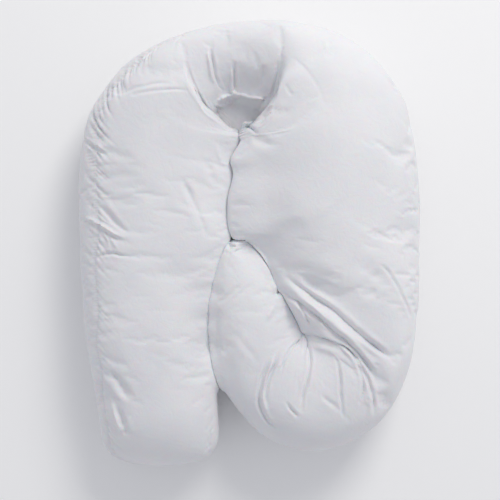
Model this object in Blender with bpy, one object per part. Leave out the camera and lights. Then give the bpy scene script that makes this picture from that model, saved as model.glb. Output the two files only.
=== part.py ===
"""A body pillow: one long stuffed tube, curled up on itself as it lies in storage.

Seen from above, the tube starts at the square end of the straight leg (low left), runs up, bends over
the top, comes down as the wide leg, turns back on itself in a tight hairpin (low right) and ends in
a slim tip between the two legs. All sizes are metres, and the pillow lies on its back on z = 0.

The cloth is a loft: each section goes from the tube's outer edge to its inner edge, and in both bends the
sections fan round a pinched corner. The folds that the bends press into the cloth, and the gathers
along the sewn edge, are then pushed into that surface, which is last thinned to the triangles it needs.
"""

import math
from collections import namedtuple

import bpy
import numpy as np

MM = 0.001

# ---------------------------------------------------------------- driving sizes
WAIST = 0.43  # height of a section's widest line, as a share of the section's height
FOOT = 0.58  # share of a section's width that lies flat on the floor
SQUARENESS = 2.3  # superellipse power of a section above its waist: 2 is an oval
FOOT_ROUND = 2.1  # the same for the side under the waist
END_ROUND = 0.062  # how far from the square end its plan outline starts to round off
END_CORNER = 2.9  # superellipse power of the square end's corners
END_SLOPE = 0.105  # how far from the square end its crown starts to come down
TIP_ROUND = 0.030
TIP_CORNER = 2.6
TIP_SLOPE = 0.018

SECTION_STEPS = 620  # fine grid along the tube
RING_STEPS = 120  # fine grid round the tube
TRIANGLES = 11400  # after thinning
ROUGH_ROWS = 4000  # readings of the section table from which its length is measured
PROFILE_POINTS = 90  # points on a quarter of a section before they are spread evenly
OUTER_SHARE = 0.6  # how much the outer edge's length counts when rings are spread along the tube

# ---------------------------------------------------------------- the tube's sections
# Plan points in millimetres, +X right and +Y up the photo. A row runs from the outer edge to the inner edge.
Section = namedtuple("Section", "outer_x outer_y inner_x inner_y height")
SECTIONS = (
    # the straight leg, from its square end upwards
    Section(-238, -356, -50, -357, 150),
    Section(-240, -285, -51, -290, 152),
    Section(-250, -219, -60, -219, 155),
    Section(-262, -147, -71, -149, 158),
    Section(-267, -78, -64, -80, 158),
    Section(-270, -19, -50, -24, 157),
    Section(-272, 21, -34, 18, 156),
    Section(-272, 61, -39, 62, 155),
    Section(-272, 101, -30, 106, 155),
    Section(-269, 146, -35, 133, 156),
    # the top bend, round its pinched corner
    Section(-259, 194, -17, 166, 158),
    Section(-238, 235, -22, 173, 159),
    Section(-205, 277, -23, 177, 160),
    Section(-152, 315, -23, 181, 161),
    Section(-83, 342, -21, 184, 162),
    Section(-8, 354, -18, 185, 164),
    Section(72, 352, -15, 185, 167),
    Section(144, 331, -12, 184, 171),
    Section(203, 290, -9, 181, 176),
    Section(243, 232, -9, 176, 180),
    # the wide leg, down to the hairpin
    Section(259, 181, -13, 165, 184),
    Section(266, 136, -32, 132, 186),
    Section(269, 98, -27, 106, 187),
    Section(270, 59, -36, 62, 187),
    Section(270, 27, -31, 22, 186),
    Section(270, -2, -5, 5, 185),
    Section(270, -30, 17, -14, 184),
    Section(270, -62, 34, -37, 182),
    Section(268, -101, 47, -70, 180),
    Section(262, -158, 67, -106, 177),
    # the hairpin, round its pinched corner
    Section(251, -206, 82, -132, 174),
    Section(227, -256, 88, -139, 172),
    Section(189, -299, 89, -142, 172),
    Section(136, -325, 88, -144, 172),
    Section(80, -330, 86, -145, 170),
    Section(27, -314, 85, -144, 166),
    Section(-14, -280, 82, -141, 160),
    Section(-53, -229, 75, -130, 157),
    # the tail, up to its tip
    Section(-65, -174, 62, -108, 155),
    Section(-68, -123, 43, -72, 152),
    Section(-61, -77, 30, -45, 149),
    Section(-53, -42, 14, -16, 145),
    Section(-42, -14, -2, 0, 140),
    Section(-34, 3, -10, 7, 136),
)

# ---------------------------------------------------------------- the sewn edges
# at is a row of SECTIONS, from 0. A seam is how high that edge's seam runs, as a share of the height. A gather
# is how strongly the cloth is bunched there, from 0 to 1. A press is how much wider the tube would be on that
# side, in millimetres, if it weren't pressed flat against its neighbour.
Edge = namedtuple("Edge", "at outer_seam inner_seam outer_gather inner_gather outer_press inner_press")
EDGES = (
    Edge(0, 0.72, 0.46, 1.0, 0.6, 0, 0),
    Edge(2, 0.80, 0.44, 0.5, 0.2, 0, 20),
    Edge(4, 0.85, 0.45, 0.6, 0.3, 0, 44),
    Edge(7, 0.86, 0.46, 0.9, 0.3, 0, 44),
    Edge(9, 0.84, 0.50, 1.0, 0.5, 0, 40),
    Edge(10, 0.78, 0.62, 1.0, 0.5, 0, 24),
    Edge(12, 0.64, 0.93, 1.0, 0.9, 0, 0),
    Edge(14, 0.57, 0.97, 0.8, 1.0, 0, 0),
    Edge(17, 0.50, 0.97, 0.5, 1.0, 0, 0),
    Edge(19, 0.46, 0.80, 0.4, 0.6, 0, 6),
    Edge(21, 0.44, 0.52, 0.3, 0.4, 0, 34),
    Edge(25, 0.43, 0.52, 0.3, 0.4, 0, 34),
    Edge(29, 0.42, 0.52, 0.2, 0.4, 0, 30),
    Edge(33, 0.38, 0.56, 0.3, 0.6, 0, 12),
    Edge(36, 0.45, 0.54, 0.3, 0.5, 6, 12),
    Edge(38, 0.55, 0.54, 0.5, 0.5, 36, 24),
    Edge(40, 0.62, 0.54, 0.6, 0.5, 34, 24),
    Edge(43, 0.62, 0.54, 0.8, 0.8, 14, 14),
)
PRESS_EDGE = 0.0018  # how softly a pressed side rounds over
GATHER_PITCH = 0.0125
GATHER_DEPTH = 0.0036
GATHER_WIDTH = 0.0032
GATHER_REACH = 0.026  # how far a gather runs from the seam
SEAM_DEPTH = 0.0022
SEAM_WIDTH = 0.0035

# ---------------------------------------------------------------- the folds
# Folds lie on the upper side and are given in plan, in millimetres. A fold is a trough where its depth is
# above 0 and a ridge where it is below; fade_in and fade_out are the shares of its run over which it dies out.
Fold = namedtuple("Fold", "name depth width fade_in fade_out points")
FOLD_SCALE = 0.967  # the points are as the folds look from above, and so near to the eye they look larger
FOLDS = (
    # top bend: two creases out of the left corner of the pinch, and the pleats of the arch
    Fold("bend crease up", 9, 7, 0.3, 0.4, ((-62, 202), (-75, 221), (-90, 250), (-106, 298))),
    Fold("bend crease across", 7, 8, 0.2, 0.3, ((-88, 244), (-112, 252), (-144, 251), (-205, 237))),
    Fold("arch pleat left", 7, 5, 0.2, 0.4, ((-49, 250), (-57, 280), (-62, 310))),
    Fold("arch pleat middle", 5, 5, 0.2, 0.4, ((-24, 240), (-28, 262), (-29, 290))),
    Fold("arch pleat right", 6, 5, 0.3, 0.4, ((47, 262), (50, 288), (52, 308))),
    Fold("arch corner right", 5, 6, 0.1, 0.5, ((40, 228), (58, 240), (74, 250))),
    Fold("wide leg nick", 5, 4, 0.1, 0.6, ((-4, 192), (6, 184), (18, 174))),
    # wide leg: the long folds that run from its inner edge into the hairpin
    Fold("long fold upper", 13, 8, 0.3, 0.35, ((52, -50), (88, -82), (128, -110), (176, -144), (230, -190))),
    Fold("long fold shadow", 10, 18, 0.3, 0.5, ((70, -52), (104, -80), (142, -108), (184, -144))),
    Fold("long fold lower", 11, 6, 0.15, 0.25, ((72, -92), (104, -110), (136, -138), (188, -190))),
    Fold("rolled ridge", -6, 11, 0.3, 0.4, ((68, -72), (112, -104), (150, -134), (200, -178))),
    Fold("wide leg soft fold", 6, 14, 0.5, 0.5, ((152, -56), (186, -72), (222, -96))),
    Fold("wide leg side crease", 4, 5, 0.4, 0.4, ((204, -34), (238, -74), (262, -122))),
    Fold("wide leg lip", 5, 6, 0.3, 0.4, ((14, -2), (32, -22), (44, -44), (50, -62))),
    # hairpin: the creases that fan out of its pinched corner
    Fold("knot groove right", 12, 8, 0.05, 0.35, ((96, -146), (132, -159), (186, -206), (206, -290))),
    Fold("knot welt left", -5, 6, 0.2, 0.3, ((62, -172), (36, -200), (22, -234), (26, -268), (56, -302))),
    Fold("knot groove outside", 6, 6, 0.3, 0.3, ((50, -172), (26, -198), (11, -234), (16, -274), (46, -306))),
    Fold("knot groove inside", 6, 5, 0.1, 0.4, ((84, -154), (54, -184), (38, -208), (34, -238), (42, -268))),
    Fold("knot crease middle", 5, 5, 0.05, 0.4, ((92, -150), (98, -200), (90, -240), (78, -272))),
    Fold("knot crease right", 5, 4, 0.3, 0.3, ((134, -182), (144, -226), (148, -268), (154, -292))),
    Fold("knot crease far right", 5, 5, 0.3, 0.3, ((160, -188), (174, -216), (178, -240), (164, -268))),
    Fold("knot crease edge", 6, 5, 0.3, 0.3, ((180, -200), (192, -228), (198, -264), (195, -304))),
    Fold("knot dent low", 4, 5, 0.4, 0.4, ((107, -238), (136, -254), (146, -268))),
    Fold("tail soft trough", 6, 14, 0.5, 0.4, ((-30, -150), (-32, -190), (-20, -240))),
    Fold("tail notch", 9, 6, 0.1, 0.6, ((46, -74), (38, -80), (30, -84))),
    # straight leg: the pinch at its side, the slack at its end and the pull towards the tip
    Fold("side pinch upper", 5, 6, 0.2, 0.4, ((-242, 68), (-228, 46), (-210, 28), (-194, 14))),
    Fold("side pinch ridge", -4, 5, 0.2, 0.4, ((-266, 42), (-234, 25), (-196, 6))),
    Fold("side pinch middle", 4, 5, 0.2, 0.4, ((-238, 20), (-230, 0), (-216, -14))),
    Fold("side pinch lower", 5, 5, 0.2, 0.5, ((-250, -20), (-220, -18), (-180, -24))),
    Fold("side crease high", 6, 5, 0.2, 0.4, ((-268, 164), (-250, 152), (-234, 140))),
    Fold("slit wrinkle", 4, 6, 0.4, 0.4, ((-54, 164), (-50, 140), (-42, 112), (-46, 84))),
    Fold("pull to the tip", 4, 7, 0.4, 0.2, ((-108, 104), (-84, 66), (-66, 26), (-52, 4))),
    Fold("end slack", 8, 10, 0.3, 0.3, ((-236, -232), (-216, -216), (-202, -246))),
    Fold("end crease", 7, 7, 0.3, 0.2, ((-230, -240), (-218, -284), (-206, -314))),
)

# ---------------------------------------------------------------- the hollow inside the top bend
# From its crown the arch slopes down to the corner where the two legs meet. At a distance from the corner, a row
# gives the directions between which the slope lies, in degrees from +X, and its height, in millimetres.
HOLLOW_CORNER = (-19, 179)
Hollow = namedtuple("Hollow", "distance right left height")
HOLLOW = (
    Hollow(0, 56, 158, 48),
    Hollow(20, 52, 155, 54),
    Hollow(32, 36, 151, 60),
    Hollow(44, 30, 147, 68),
    Hollow(63, 36, 139, 90),
    Hollow(85, 45, 138, 118),
    Hollow(104, 50, 135, 137),
    Hollow(118, 55, 132, 149),
    Hollow(147, 62, 127, 168),
    Hollow(180, 70, 122, 200),
)
HOLLOW_SIDE = 14  # how wide the side is where each leg drops into the hollow, in millimetres
HOLLOW_SOFT = 0.006  # how softly the cloth rounds over into the hollow
HOLLOW_END = 0.150  # how far from its corner the hollow begins to run out, and over which distance
HOLLOW_END_RUN = 0.030
HIGH_ABOVE = 0.2  # lifts the slope clear of the cloth where there is no hollow


def smooth(x):
    """0 below 0, 1 above 1, and a soft step between."""
    x = np.clip(x, 0.0, 1.0)
    return x * x * (3.0 - 2.0 * x)


def through(rows, at):
    """A smooth curve through the rows of a table, read at fractional row numbers."""
    rows = np.asarray(rows, float)
    last = len(rows) - 1
    first = np.clip(np.floor(at).astype(int), 0, last - 1)
    f = (at - first)[:, None]
    a = rows[np.maximum(first - 1, 0)]
    b = rows[first]
    c = rows[first + 1]
    d = rows[np.minimum(first + 2, last)]
    return 0.5 * (2 * b + (c - a) * f + (2 * a - 5 * b + 4 * c - d) * f**2 + (3 * b - a - 3 * c + d) * f**3)


def even_rows(steps):
    """Row numbers that step evenly along the tube, and closer together at its two rounded ends."""
    at = np.linspace(0, len(SECTIONS) - 1, ROUGH_ROWS)
    table = through(SECTIONS, at)
    outer = np.linalg.norm(np.diff(table[:, 0:2], axis=0), axis=1)
    middle = np.linalg.norm(np.diff((table[:, 0:2] + table[:, 2:4]) / 2, axis=0), axis=1)
    run = np.concatenate([[0], np.cumsum(np.maximum(OUTER_SHARE * outer, middle))])
    reach = 1.6 * END_ROUND / MM
    share = np.linspace(0, run[-1], steps)
    for end, sign in ((0.0, 1), (run[-1], -1)):
        near = np.clip(np.abs(share - end) / reach, 0, 1)
        share = np.where(near < 1, end + sign * reach * near**2 * (2 - near), share)
    return np.interp(share, run, at)


def edge_values(at):
    """The edge table, read at the same row numbers."""
    table = np.array(EDGES, float)
    return {name: np.interp(at, table[:, 0], table[:, column]) for column, name in enumerate(Edge._fields)}


def end_curve(distance, reach, power):
    """How much of a section is left at a distance from the tube's end."""
    share = np.clip(distance / reach, 1e-4, 1.0)
    return (1.0 - (1.0 - share) ** power) ** (1.0 / power)


def section_ring(half, height, plan, crown, settle, edge):
    """One section's points, as (sideways, up), from the outer seam over the top to the inner one and back."""
    rise = np.linspace(0, 1, PROFILE_POINTS) ** 3 * math.pi / 2
    angle = np.concatenate([math.pi + rise[:0:-1], math.pi - rise[:-1], rise[::-1], -rise[1:]])
    cosine = np.cos(angle)
    sine = np.sin(angle)
    press = np.where(cosine < 0, edge["outer_press"], edge["inner_press"]) * MM
    free = (half + press) * np.abs(cosine) ** (2.0 / SQUARENESS)
    pressed = free - PRESS_EDGE * np.log1p(np.exp((free - half) / PRESS_EDGE))
    x = plan * np.sign(cosine) * np.where(press > 0, pressed, free)
    waist = WAIST * height
    over = waist + (height - waist) * crown * np.abs(sine) ** (2.0 / SQUARENESS)
    # Under the waist the side curves in to the flat foot, and the foot then runs to the middle.
    under = np.arctan2(-sine, np.abs(cosine)) / (math.pi / 3)
    curve = np.clip(under, 0, 1) * math.pi / 2
    foot = np.sin(curve) ** (2.0 / FOOT_ROUND)
    inward = FOOT + (1 - FOOT) * np.cos(curve) ** (2.0 / FOOT_ROUND) - FOOT * np.clip((under - 1) * 2, 0, 1)
    x = np.where(sine < 0, plan * np.sign(cosine) * half * inward, x)
    z = np.where(sine >= 0, over, waist * (1.0 - foot * settle))
    run = np.concatenate([[0], np.cumsum(np.hypot(np.diff(x), np.diff(z)))])
    top = len(angle) // 2
    share = np.where(sine >= 0, WAIST + (1 - WAIST) * np.abs(sine) ** (2.0 / SQUARENESS), WAIST * (1.0 - foot))
    outer = np.interp(edge["outer_seam"], share[:top], run[:top])
    inner = np.interp(edge["inner_seam"], share[:top:-1], run[:top:-1])
    step = np.linspace(0, 1, RING_STEPS // 2, endpoint=False)
    over_the_top = outer + (inner - outer) * step
    underneath = (inner + (run[-1] - inner + outer) * step) % run[-1]
    where = np.concatenate([over_the_top, underneath])
    return np.interp(where, run, x), np.interp(where, run, z)


def tube_points():
    """The loft's points, rings x ring steps x 3, and the edge values of each ring."""
    at = even_rows(SECTION_STEPS)
    table = through(SECTIONS, at)
    outer = table[:, 0:2] * MM
    inner = table[:, 2:4] * MM
    height = table[:, 4] * MM
    middle = (outer + inner) / 2
    half = np.linalg.norm(inner - outer, axis=1) / 2
    across = (inner - outer) / (2 * half[:, None])
    from_end = np.concatenate([[0], np.cumsum(np.linalg.norm(np.diff(middle, axis=0), axis=1))])
    from_tip = from_end[-1] - from_end
    plan = end_curve(from_end, END_ROUND, END_CORNER) * end_curve(from_tip, TIP_ROUND, TIP_CORNER)
    crown = end_curve(from_end, END_SLOPE, 2.0) * end_curve(from_tip, TIP_SLOPE, 2.0)
    settle = end_curve(from_end, END_ROUND, 2.0) * end_curve(from_tip, TIP_ROUND, 2.0)
    edges = edge_values(at)
    points = np.empty((len(at), RING_STEPS, 3))
    for i in range(len(at)):
        edge = {name: values[i] for name, values in edges.items()}
        x, z = section_ring(half[i], height[i], plan[i], crown[i], settle[i], edge)
        points[i, :, 0:2] = middle[i] + x[:, None] * across[i]
        points[i, :, 2] = z
    return points, edges


def normals_of(points):
    """Outward unit normals of a ring grid."""
    along = np.gradient(points, axis=0)
    around = np.roll(points, -1, axis=1) - np.roll(points, 1, axis=1)
    normal = np.cross(around, along)
    return normal / np.maximum(np.linalg.norm(normal, axis=2, keepdims=True), 1e-12)


def distance_to_path(plan, path):
    """Each plan point's distance from a path, and the share of the path at which its nearest point lies."""
    steps = np.linspace(0, len(path) - 1, 12 * (len(path) - 1) + 1)
    line = through(path, steps) * MM * FOLD_SCALE
    nearest = np.full(len(plan), np.inf)
    share = np.zeros(len(plan))
    for i in range(len(line) - 1):
        start = line[i]
        step = line[i + 1] - start
        t = np.clip((plan - start) @ step / (step @ step), 0, 1)
        away = np.linalg.norm(plan - start - t[:, None] * step, axis=1)
        closer = away < nearest
        nearest[closer] = away[closer]
        share[closer] = (i + t[closer]) / (len(line) - 1)
    return nearest, share


def press_folds(points, normals):
    """Pushes each fold into the upper side: a trough with a slight swell beside it, or a ridge."""
    facing_up = smooth((normals[..., 2] - 0.1) / 0.4)
    plan = points[..., 0:2].reshape(-1, 2)
    push = np.zeros(len(plan))
    for fold in FOLDS:
        away, share = distance_to_path(plan, fold.points)
        off = away / (fold.width * MM)
        fade = smooth(share / max(fold.fade_in, 1e-6)) * smooth((1 - share) / max(fold.fade_out, 1e-6))
        swell = 0.2 * np.exp(-(((off - 2.0) / 0.9) ** 2))
        push += fold.depth * MM * fade * (np.exp(-(off**2)) - swell)
    pressed = points.copy()
    pressed[..., 2] -= push.reshape(facing_up.shape) * facing_up
    return pressed


def open_hollow(points):
    """Lowers the cloth to the slope inside the top bend."""
    table = np.array(HOLLOW, float)
    away = points[..., 0:2] - np.array(HOLLOW_CORNER) * MM
    distance = np.linalg.norm(away, axis=2) / MM
    direction = np.degrees(np.arctan2(away[..., 1], away[..., 0]))
    right = np.interp(distance, table[:, 0], table[:, 1])
    left = np.interp(distance, table[:, 0], table[:, 2])
    slope = np.interp(distance, table[:, 0], table[:, 3]) * MM
    side = np.degrees(np.arctan2(HOLLOW_SIDE, distance + 1))
    inside = np.clip((direction - right) / side + 0.5, 0, 1) * np.clip((left - direction) / side + 0.5, 0, 1)
    run_out = smooth((distance * MM - HOLLOW_END) / HOLLOW_END_RUN)
    slope = slope + HIGH_ABOVE * (1 - inside) + HIGH_ABOVE * run_out
    lowered = points.copy()
    over = np.clip((points[..., 2] - slope) / HOLLOW_SOFT, -30, 30)
    lowered[..., 2] -= np.where(over > -4, HOLLOW_SOFT * np.log1p(np.exp(over)), 0)
    return lowered


def gather_wave(run, chance):
    """How deep the gathers are along a seam, from 0 to 1, with uneven spacing, depth and reach."""
    wave = np.zeros(len(run))
    reach = np.full(len(run), GATHER_REACH)
    at = 0.0
    while at < run[-1]:
        at += GATHER_PITCH * chance.uniform(0.6, 1.5)
        off = (run - at) / (GATHER_WIDTH * chance.uniform(0.8, 1.3))
        bump = np.exp(-(off**2))
        wave = np.maximum(wave, bump * chance.uniform(0.35, 1.0))
        reach += bump * GATHER_REACH * chance.uniform(-0.5, 0.6)
    return wave, reach


def gather_seams(points, normals, edges):
    """Draws both seams in, and bunches the cloth beside them into gathers square to the seam."""
    half_ring = RING_STEPS // 2
    chance = np.random.default_rng(7)
    push = np.zeros(points.shape[:2])
    for column, strength in ((0, edges["outer_gather"]), (half_ring, edges["inner_gather"])):
        seam = points[:, column]
        run = np.concatenate([[0], np.cumsum(np.linalg.norm(np.diff(seam, axis=0), axis=1))])
        wave, reach = gather_wave(run, chance)
        # Both would crowd together where the seam turns tightly round a bend's inner corner, so they fade.
        spacing = np.gradient(run) / np.median(np.gradient(run))
        open_out = smooth((spacing - 0.2) / 0.5)
        wave = wave * strength * open_out
        away = np.linalg.norm(points - seam[:, None, :], axis=2)
        push += GATHER_DEPTH * wave[:, None] * np.exp(-((away / reach[:, None]) ** 2)) * smooth(away / 0.006)
        push += SEAM_DEPTH * open_out[:, None] * np.exp(-((away / SEAM_WIDTH) ** 2))
    clear_of_floor = smooth(points[..., 2] / 0.012)
    return points - normals * (push * clear_of_floor)[..., None]


def pillow_mesh():
    """The cloth's closed surface: rings of quads, with a fan at each end."""
    points, edges = tube_points()
    points = open_hollow(points)
    points = press_folds(points, normals_of(points))
    points = gather_seams(points, normals_of(points), edges)
    points[..., 2] = np.maximum(points[..., 2], 0.0)
    first = points[0].mean(axis=0)
    final = points[-1].mean(axis=0)
    rings = points[1:-1]
    count = RING_STEPS
    vertices = np.concatenate([rings.reshape(-1, 3), [first, final]])
    low = vertices.min(axis=0)
    high = vertices.max(axis=0)
    vertices -= ((low[0] + high[0]) / 2, (low[1] + high[1]) / 2, 0.0)
    faces = []
    for ring in range(len(rings) - 1):
        for step in range(count):
            after = (step + 1) % count
            here = ring * count
            there = here + count
            faces.append((here + step, here + after, there + after, there + step))
    start_tip = len(rings) * count
    end_ring = (len(rings) - 1) * count
    for step in range(count):
        after = (step + 1) % count
        faces.append((start_tip, after, step))
        faces.append((start_tip + 1, end_ring + step, end_ring + after))
    mesh = bpy.data.meshes.new("pillow")
    mesh.from_pydata(vertices.tolist(), [], faces)
    mesh.validate()
    mesh.shade_smooth()
    return mesh


def cotton_white():
    """Plain white woven cotton."""
    material = bpy.data.materials.new("white_cotton")
    material.use_nodes = True
    shader = material.node_tree.nodes["Principled BSDF"]
    shader.inputs["Base Color"].default_value = (0.80, 0.80, 0.82, 1.0)
    shader.inputs["Roughness"].default_value = 0.85
    shader.inputs["Metallic"].default_value = 0.0
    return material


def clear_scene():
    for thing in list(bpy.data.objects):
        bpy.data.objects.remove(thing, do_unlink=True)


def main():
    clear_scene()
    group = bpy.data.collections.new("body_pillow")
    bpy.context.scene.collection.children.link(group)
    pillow = bpy.data.objects.new("pillow", pillow_mesh())
    pillow.data.materials.append(cotton_white())
    group.objects.link(pillow)
    fine = 2 * len(pillow.data.vertices)
    thin = pillow.modifiers.new("thin to the budget", "DECIMATE")
    thin.decimate_type = "COLLAPSE"
    thin.ratio = TRIANGLES / fine
    return pillow


main()
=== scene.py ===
# %% [markdown]
# # A body pillow, curled up as it lies in storage
#
# The real thing is two long curved panels of plain white cotton, sewn together along their edges and
# stuffed with loose fibre. Nothing in it is hard, so every line in it is cloth: the gathers of the seam,
# the creases where the tube is bent, and the pucker of slack cloth over the filling. This lesson makes it
# as one closed cover, in five moves: lay out the tube, open the hollow in its bend, press in its creases,
# let a cloth simulation pucker it, and finish it in woven cotton.
#
# First comes the fixed frame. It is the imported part, which gives the size and place that the cover has to
# keep.

# %% Load the frame
import math
from collections import namedtuple

import bpy
import numpy as np
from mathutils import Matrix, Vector, noise
from mathutils.bvhtree import BVHTree


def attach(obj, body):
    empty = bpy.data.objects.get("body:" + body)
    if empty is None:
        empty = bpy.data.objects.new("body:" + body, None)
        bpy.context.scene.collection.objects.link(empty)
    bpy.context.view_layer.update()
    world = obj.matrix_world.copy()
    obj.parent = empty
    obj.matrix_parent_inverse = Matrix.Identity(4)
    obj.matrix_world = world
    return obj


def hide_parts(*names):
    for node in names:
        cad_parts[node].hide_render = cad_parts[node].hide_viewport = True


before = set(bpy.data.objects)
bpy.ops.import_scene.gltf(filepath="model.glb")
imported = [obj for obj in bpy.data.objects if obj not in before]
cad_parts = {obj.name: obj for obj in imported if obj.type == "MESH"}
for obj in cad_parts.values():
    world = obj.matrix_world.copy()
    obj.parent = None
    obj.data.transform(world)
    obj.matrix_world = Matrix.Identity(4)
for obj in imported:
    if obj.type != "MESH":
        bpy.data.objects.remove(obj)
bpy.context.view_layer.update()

MM = 0.001

# %% [markdown]
# ## The camera
#
# The photograph looks straight down on the pillow. A long lens from over two metres away keeps the sides
# from spreading, and its frame is 0.8 m wide at the height of the pillow's middle, so that one pixel is 1.6
# mm of cloth. The middle of the picture is not quite the middle of the pillow, and the camera stands over
# the first.

# %% Camera over the pillow
LENS = 100.0
SENSOR = 36.0
FRAME_WIDTH = 0.800  # metres across the picture, at the pillow's middle height
MIDDLE_HEIGHT = 0.080
PICTURE_MIDDLE = (0.0011, -0.0109)


def add_camera():
    """A camera that looks straight down, with +Y of the pillow up the picture."""
    data = bpy.data.cameras.new("overhead")
    data.lens = LENS
    data.sensor_width = SENSOR
    camera = bpy.data.objects.new("overhead", data)
    bpy.context.scene.collection.objects.link(camera)
    distance = FRAME_WIDTH * LENS / SENSOR
    camera.location = (*PICTURE_MIDDLE, MIDDLE_HEIGHT + distance)
    bpy.context.scene.camera = camera
    return camera


camera = add_camera()
print("the camera is", round(camera.location.z, 3), "m over the floor")

# %% [markdown]
# ## The tube
#
# A stuffed tube could be a curve with a bevel, but this one changes its width and height all along its
# length, and in both bends its sections fan round a pinched corner. A loft says that directly: a table has
# a row for each section, with the two places where it meets the outer and the inner edge of the tube, as
# seen from above, and the height that the filling gives it. Smooth curves through the rows give as many
# sections as we want.

# %% The sections, from the square end to the tip
# all in millimetres: both edges as seen from above, and how high the filling stands
Section = namedtuple("Section", "outer_x outer_y inner_x inner_y height")
SECTIONS = (
    # the straight leg, from its square end upwards
    Section(-238, -356, -50, -357, 150),
    Section(-240, -285, -51, -290, 152),
    Section(-250, -219, -57, -219, 155),
    Section(-262, -147, -70, -149, 158),
    Section(-267, -78, -64, -80, 158),
    Section(-270, -19, -47, -24, 157),
    Section(-272, 21, -32, 18, 156),
    Section(-272, 61, -37, 62, 155),
    Section(-272, 101, -28, 106, 155),
    Section(-269, 146, -32, 131, 156),
    # the top bend, round its pinched corner
    Section(-259, 194, -15, 161, 158),
    Section(-238, 235, -18, 169, 159),
    Section(-205, 277, -19, 174, 160),
    Section(-152, 315, -18, 177, 161),
    Section(-83, 342, -17, 178, 162),
    Section(-8, 354, -16, 178, 164),
    Section(72, 352, -15, 178, 167),
    Section(144, 331, -14, 177, 171),
    Section(203, 290, -13, 174, 176),
    Section(243, 232, -12, 169, 180),
    # the wide leg, down to the hairpin
    Section(259, 181, -11, 160, 184),
    Section(266, 136, -29, 130, 186),
    Section(269, 98, -25, 106, 187),
    Section(270, 59, -34, 62, 187),
    Section(270, 22, -31, 18, 186),
    Section(270, -7, -7, 5, 185),
    Section(270, -30, 17, -14, 184),
    Section(270, -62, 34, -37, 182),
    Section(268, -101, 47, -70, 180),
    Section(262, -158, 67, -106, 177),
    # the hairpin, round its pinched corner
    Section(251, -206, 82, -132, 174),
    Section(227, -256, 88, -139, 172),
    Section(189, -299, 89, -142, 172),
    Section(136, -325, 88, -144, 172),
    Section(80, -330, 86, -145, 170),
    Section(27, -311, 85, -144, 166),
    Section(-14, -273, 82, -141, 160),
    Section(-52, -214, 75, -130, 157),
    # the tail, up to its tip
    Section(-63, -172, 62, -108, 155),
    Section(-68, -123, 43, -72, 152),
    Section(-61, -77, 30, -45, 149),
    Section(-53, -40, 14, -15, 145),
    Section(-41, -12, 3, -2, 142),
    Section(-33, 7, -4, 10, 138),
)


def smooth(x):
    """0 below 0, 1 above 1, and a soft step between."""
    x = np.clip(x, 0.0, 1.0)
    return x * x * (3.0 - 2.0 * x)


def through(rows, at):
    """A smooth curve through the rows of a table, read at fractional row numbers."""
    rows = np.asarray(rows, float)
    last = len(rows) - 1
    first = np.clip(np.floor(at).astype(int), 0, last - 1)
    part = (at - first)[:, None]
    before = rows[np.maximum(first - 1, 0)]
    start = rows[first]
    end = rows[first + 1]
    after = rows[np.minimum(first + 2, last)]
    slope = (end - before) * part
    bend = (2 * before - 5 * start + 4 * end - after) * part**2
    turn = (3 * start - before - 3 * end + after) * part**3
    return 0.5 * (2 * start + slope + bend + turn)


print("the tube has", len(SECTIONS), "sections")

# %% [markdown]
# ## The sewn edges
#
# The two panels meet in a seam that runs all the way round. It doesn't stay at half height: where the leg
# has rolled over, the seam rides up on its side, and that is where the photograph shows its gathers best.
# So a second table says, along the tube, how high each seam lies, how strongly the cloth is bunched there,
# how hard that side is pressed against the leg beside it, and how loosely the cloth sits over the filling.

# %% Seam height, gathers and pressure along the tube
Edge = namedtuple(
    "Edge",
    "at outer_seam inner_seam outer_gather inner_gather outer_press inner_press outer_loose inner_loose",
)
EDGES = (
    # at is a row of SECTIONS, a seam's height is a share of the section's, and press is in millimetres
    Edge(0, 0.72, 0.46, 1.0, 0.6, 0, 0, 0.6, 0.4),
    Edge(2, 0.80, 0.44, 0.5, 0.2, 0, 12, 0.4, 0.1),
    Edge(4, 0.85, 0.45, 0.6, 0.3, 0, 26, 0.3, 0.05),
    Edge(7, 0.86, 0.46, 1.0, 0.3, 0, 40, 0.5, 0.05),
    Edge(9, 0.83, 0.50, 2.2, 0.5, 0, 40, 0.8, 0.05),
    Edge(10, 0.76, 0.54, 2.8, 0.5, 0, 30, 1.0, 0.1),
    Edge(11, 0.75, 0.58, 2.8, 0.7, 0, 18, 1.0, 0.2),
    Edge(12, 0.75, 0.82, 2.6, 0.9, 0, 8, 1.0, 0.5),
    Edge(13, 0.68, 0.95, 1.5, 1.0, 0, 2, 1.0, 1.0),
    Edge(15, 0.56, 0.97, 0.9, 1.0, 0, 0, 0.8, 1.0),
    Edge(17, 0.50, 0.97, 0.5, 1.0, 0, 8, 0.5, 1.0),
    Edge(18, 0.48, 0.80, 0.5, 0.8, 0, 16, 0.5, 0.8),
    Edge(19, 0.46, 0.60, 0.4, 0.6, 0, 24, 0.4, 0.4),
    Edge(21, 0.44, 0.52, 0.3, 0.4, 0, 26, 0.3, 0.1),
    Edge(25, 0.43, 0.52, 0.3, 0.4, 0, 18, 0.3, 0.1),
    Edge(29, 0.42, 0.52, 0.2, 0.4, 0, 20, 0.5, 0.5),
    Edge(33, 0.38, 0.56, 0.3, 0.6, 0, 12, 0.9, 0.9),
    Edge(36, 0.45, 0.54, 0.3, 0.5, 2, 12, 0.5, 0.5),
    Edge(38, 0.55, 0.54, 0.2, 0.5, 10, 24, 0.1, 0.2),
    Edge(40, 0.62, 0.54, 0.2, 0.5, 14, 24, 0.1, 0.2),
    Edge(43, 0.62, 0.54, 0.6, 0.8, 14, 14, 0.6, 0.6),
)
PRESS_EDGE = 0.0026  # how softly a pressed side rounds over
TOUCH = 0.0012  # how much further than the solid a pressed side reaches, so that the legs all but touch

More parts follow.
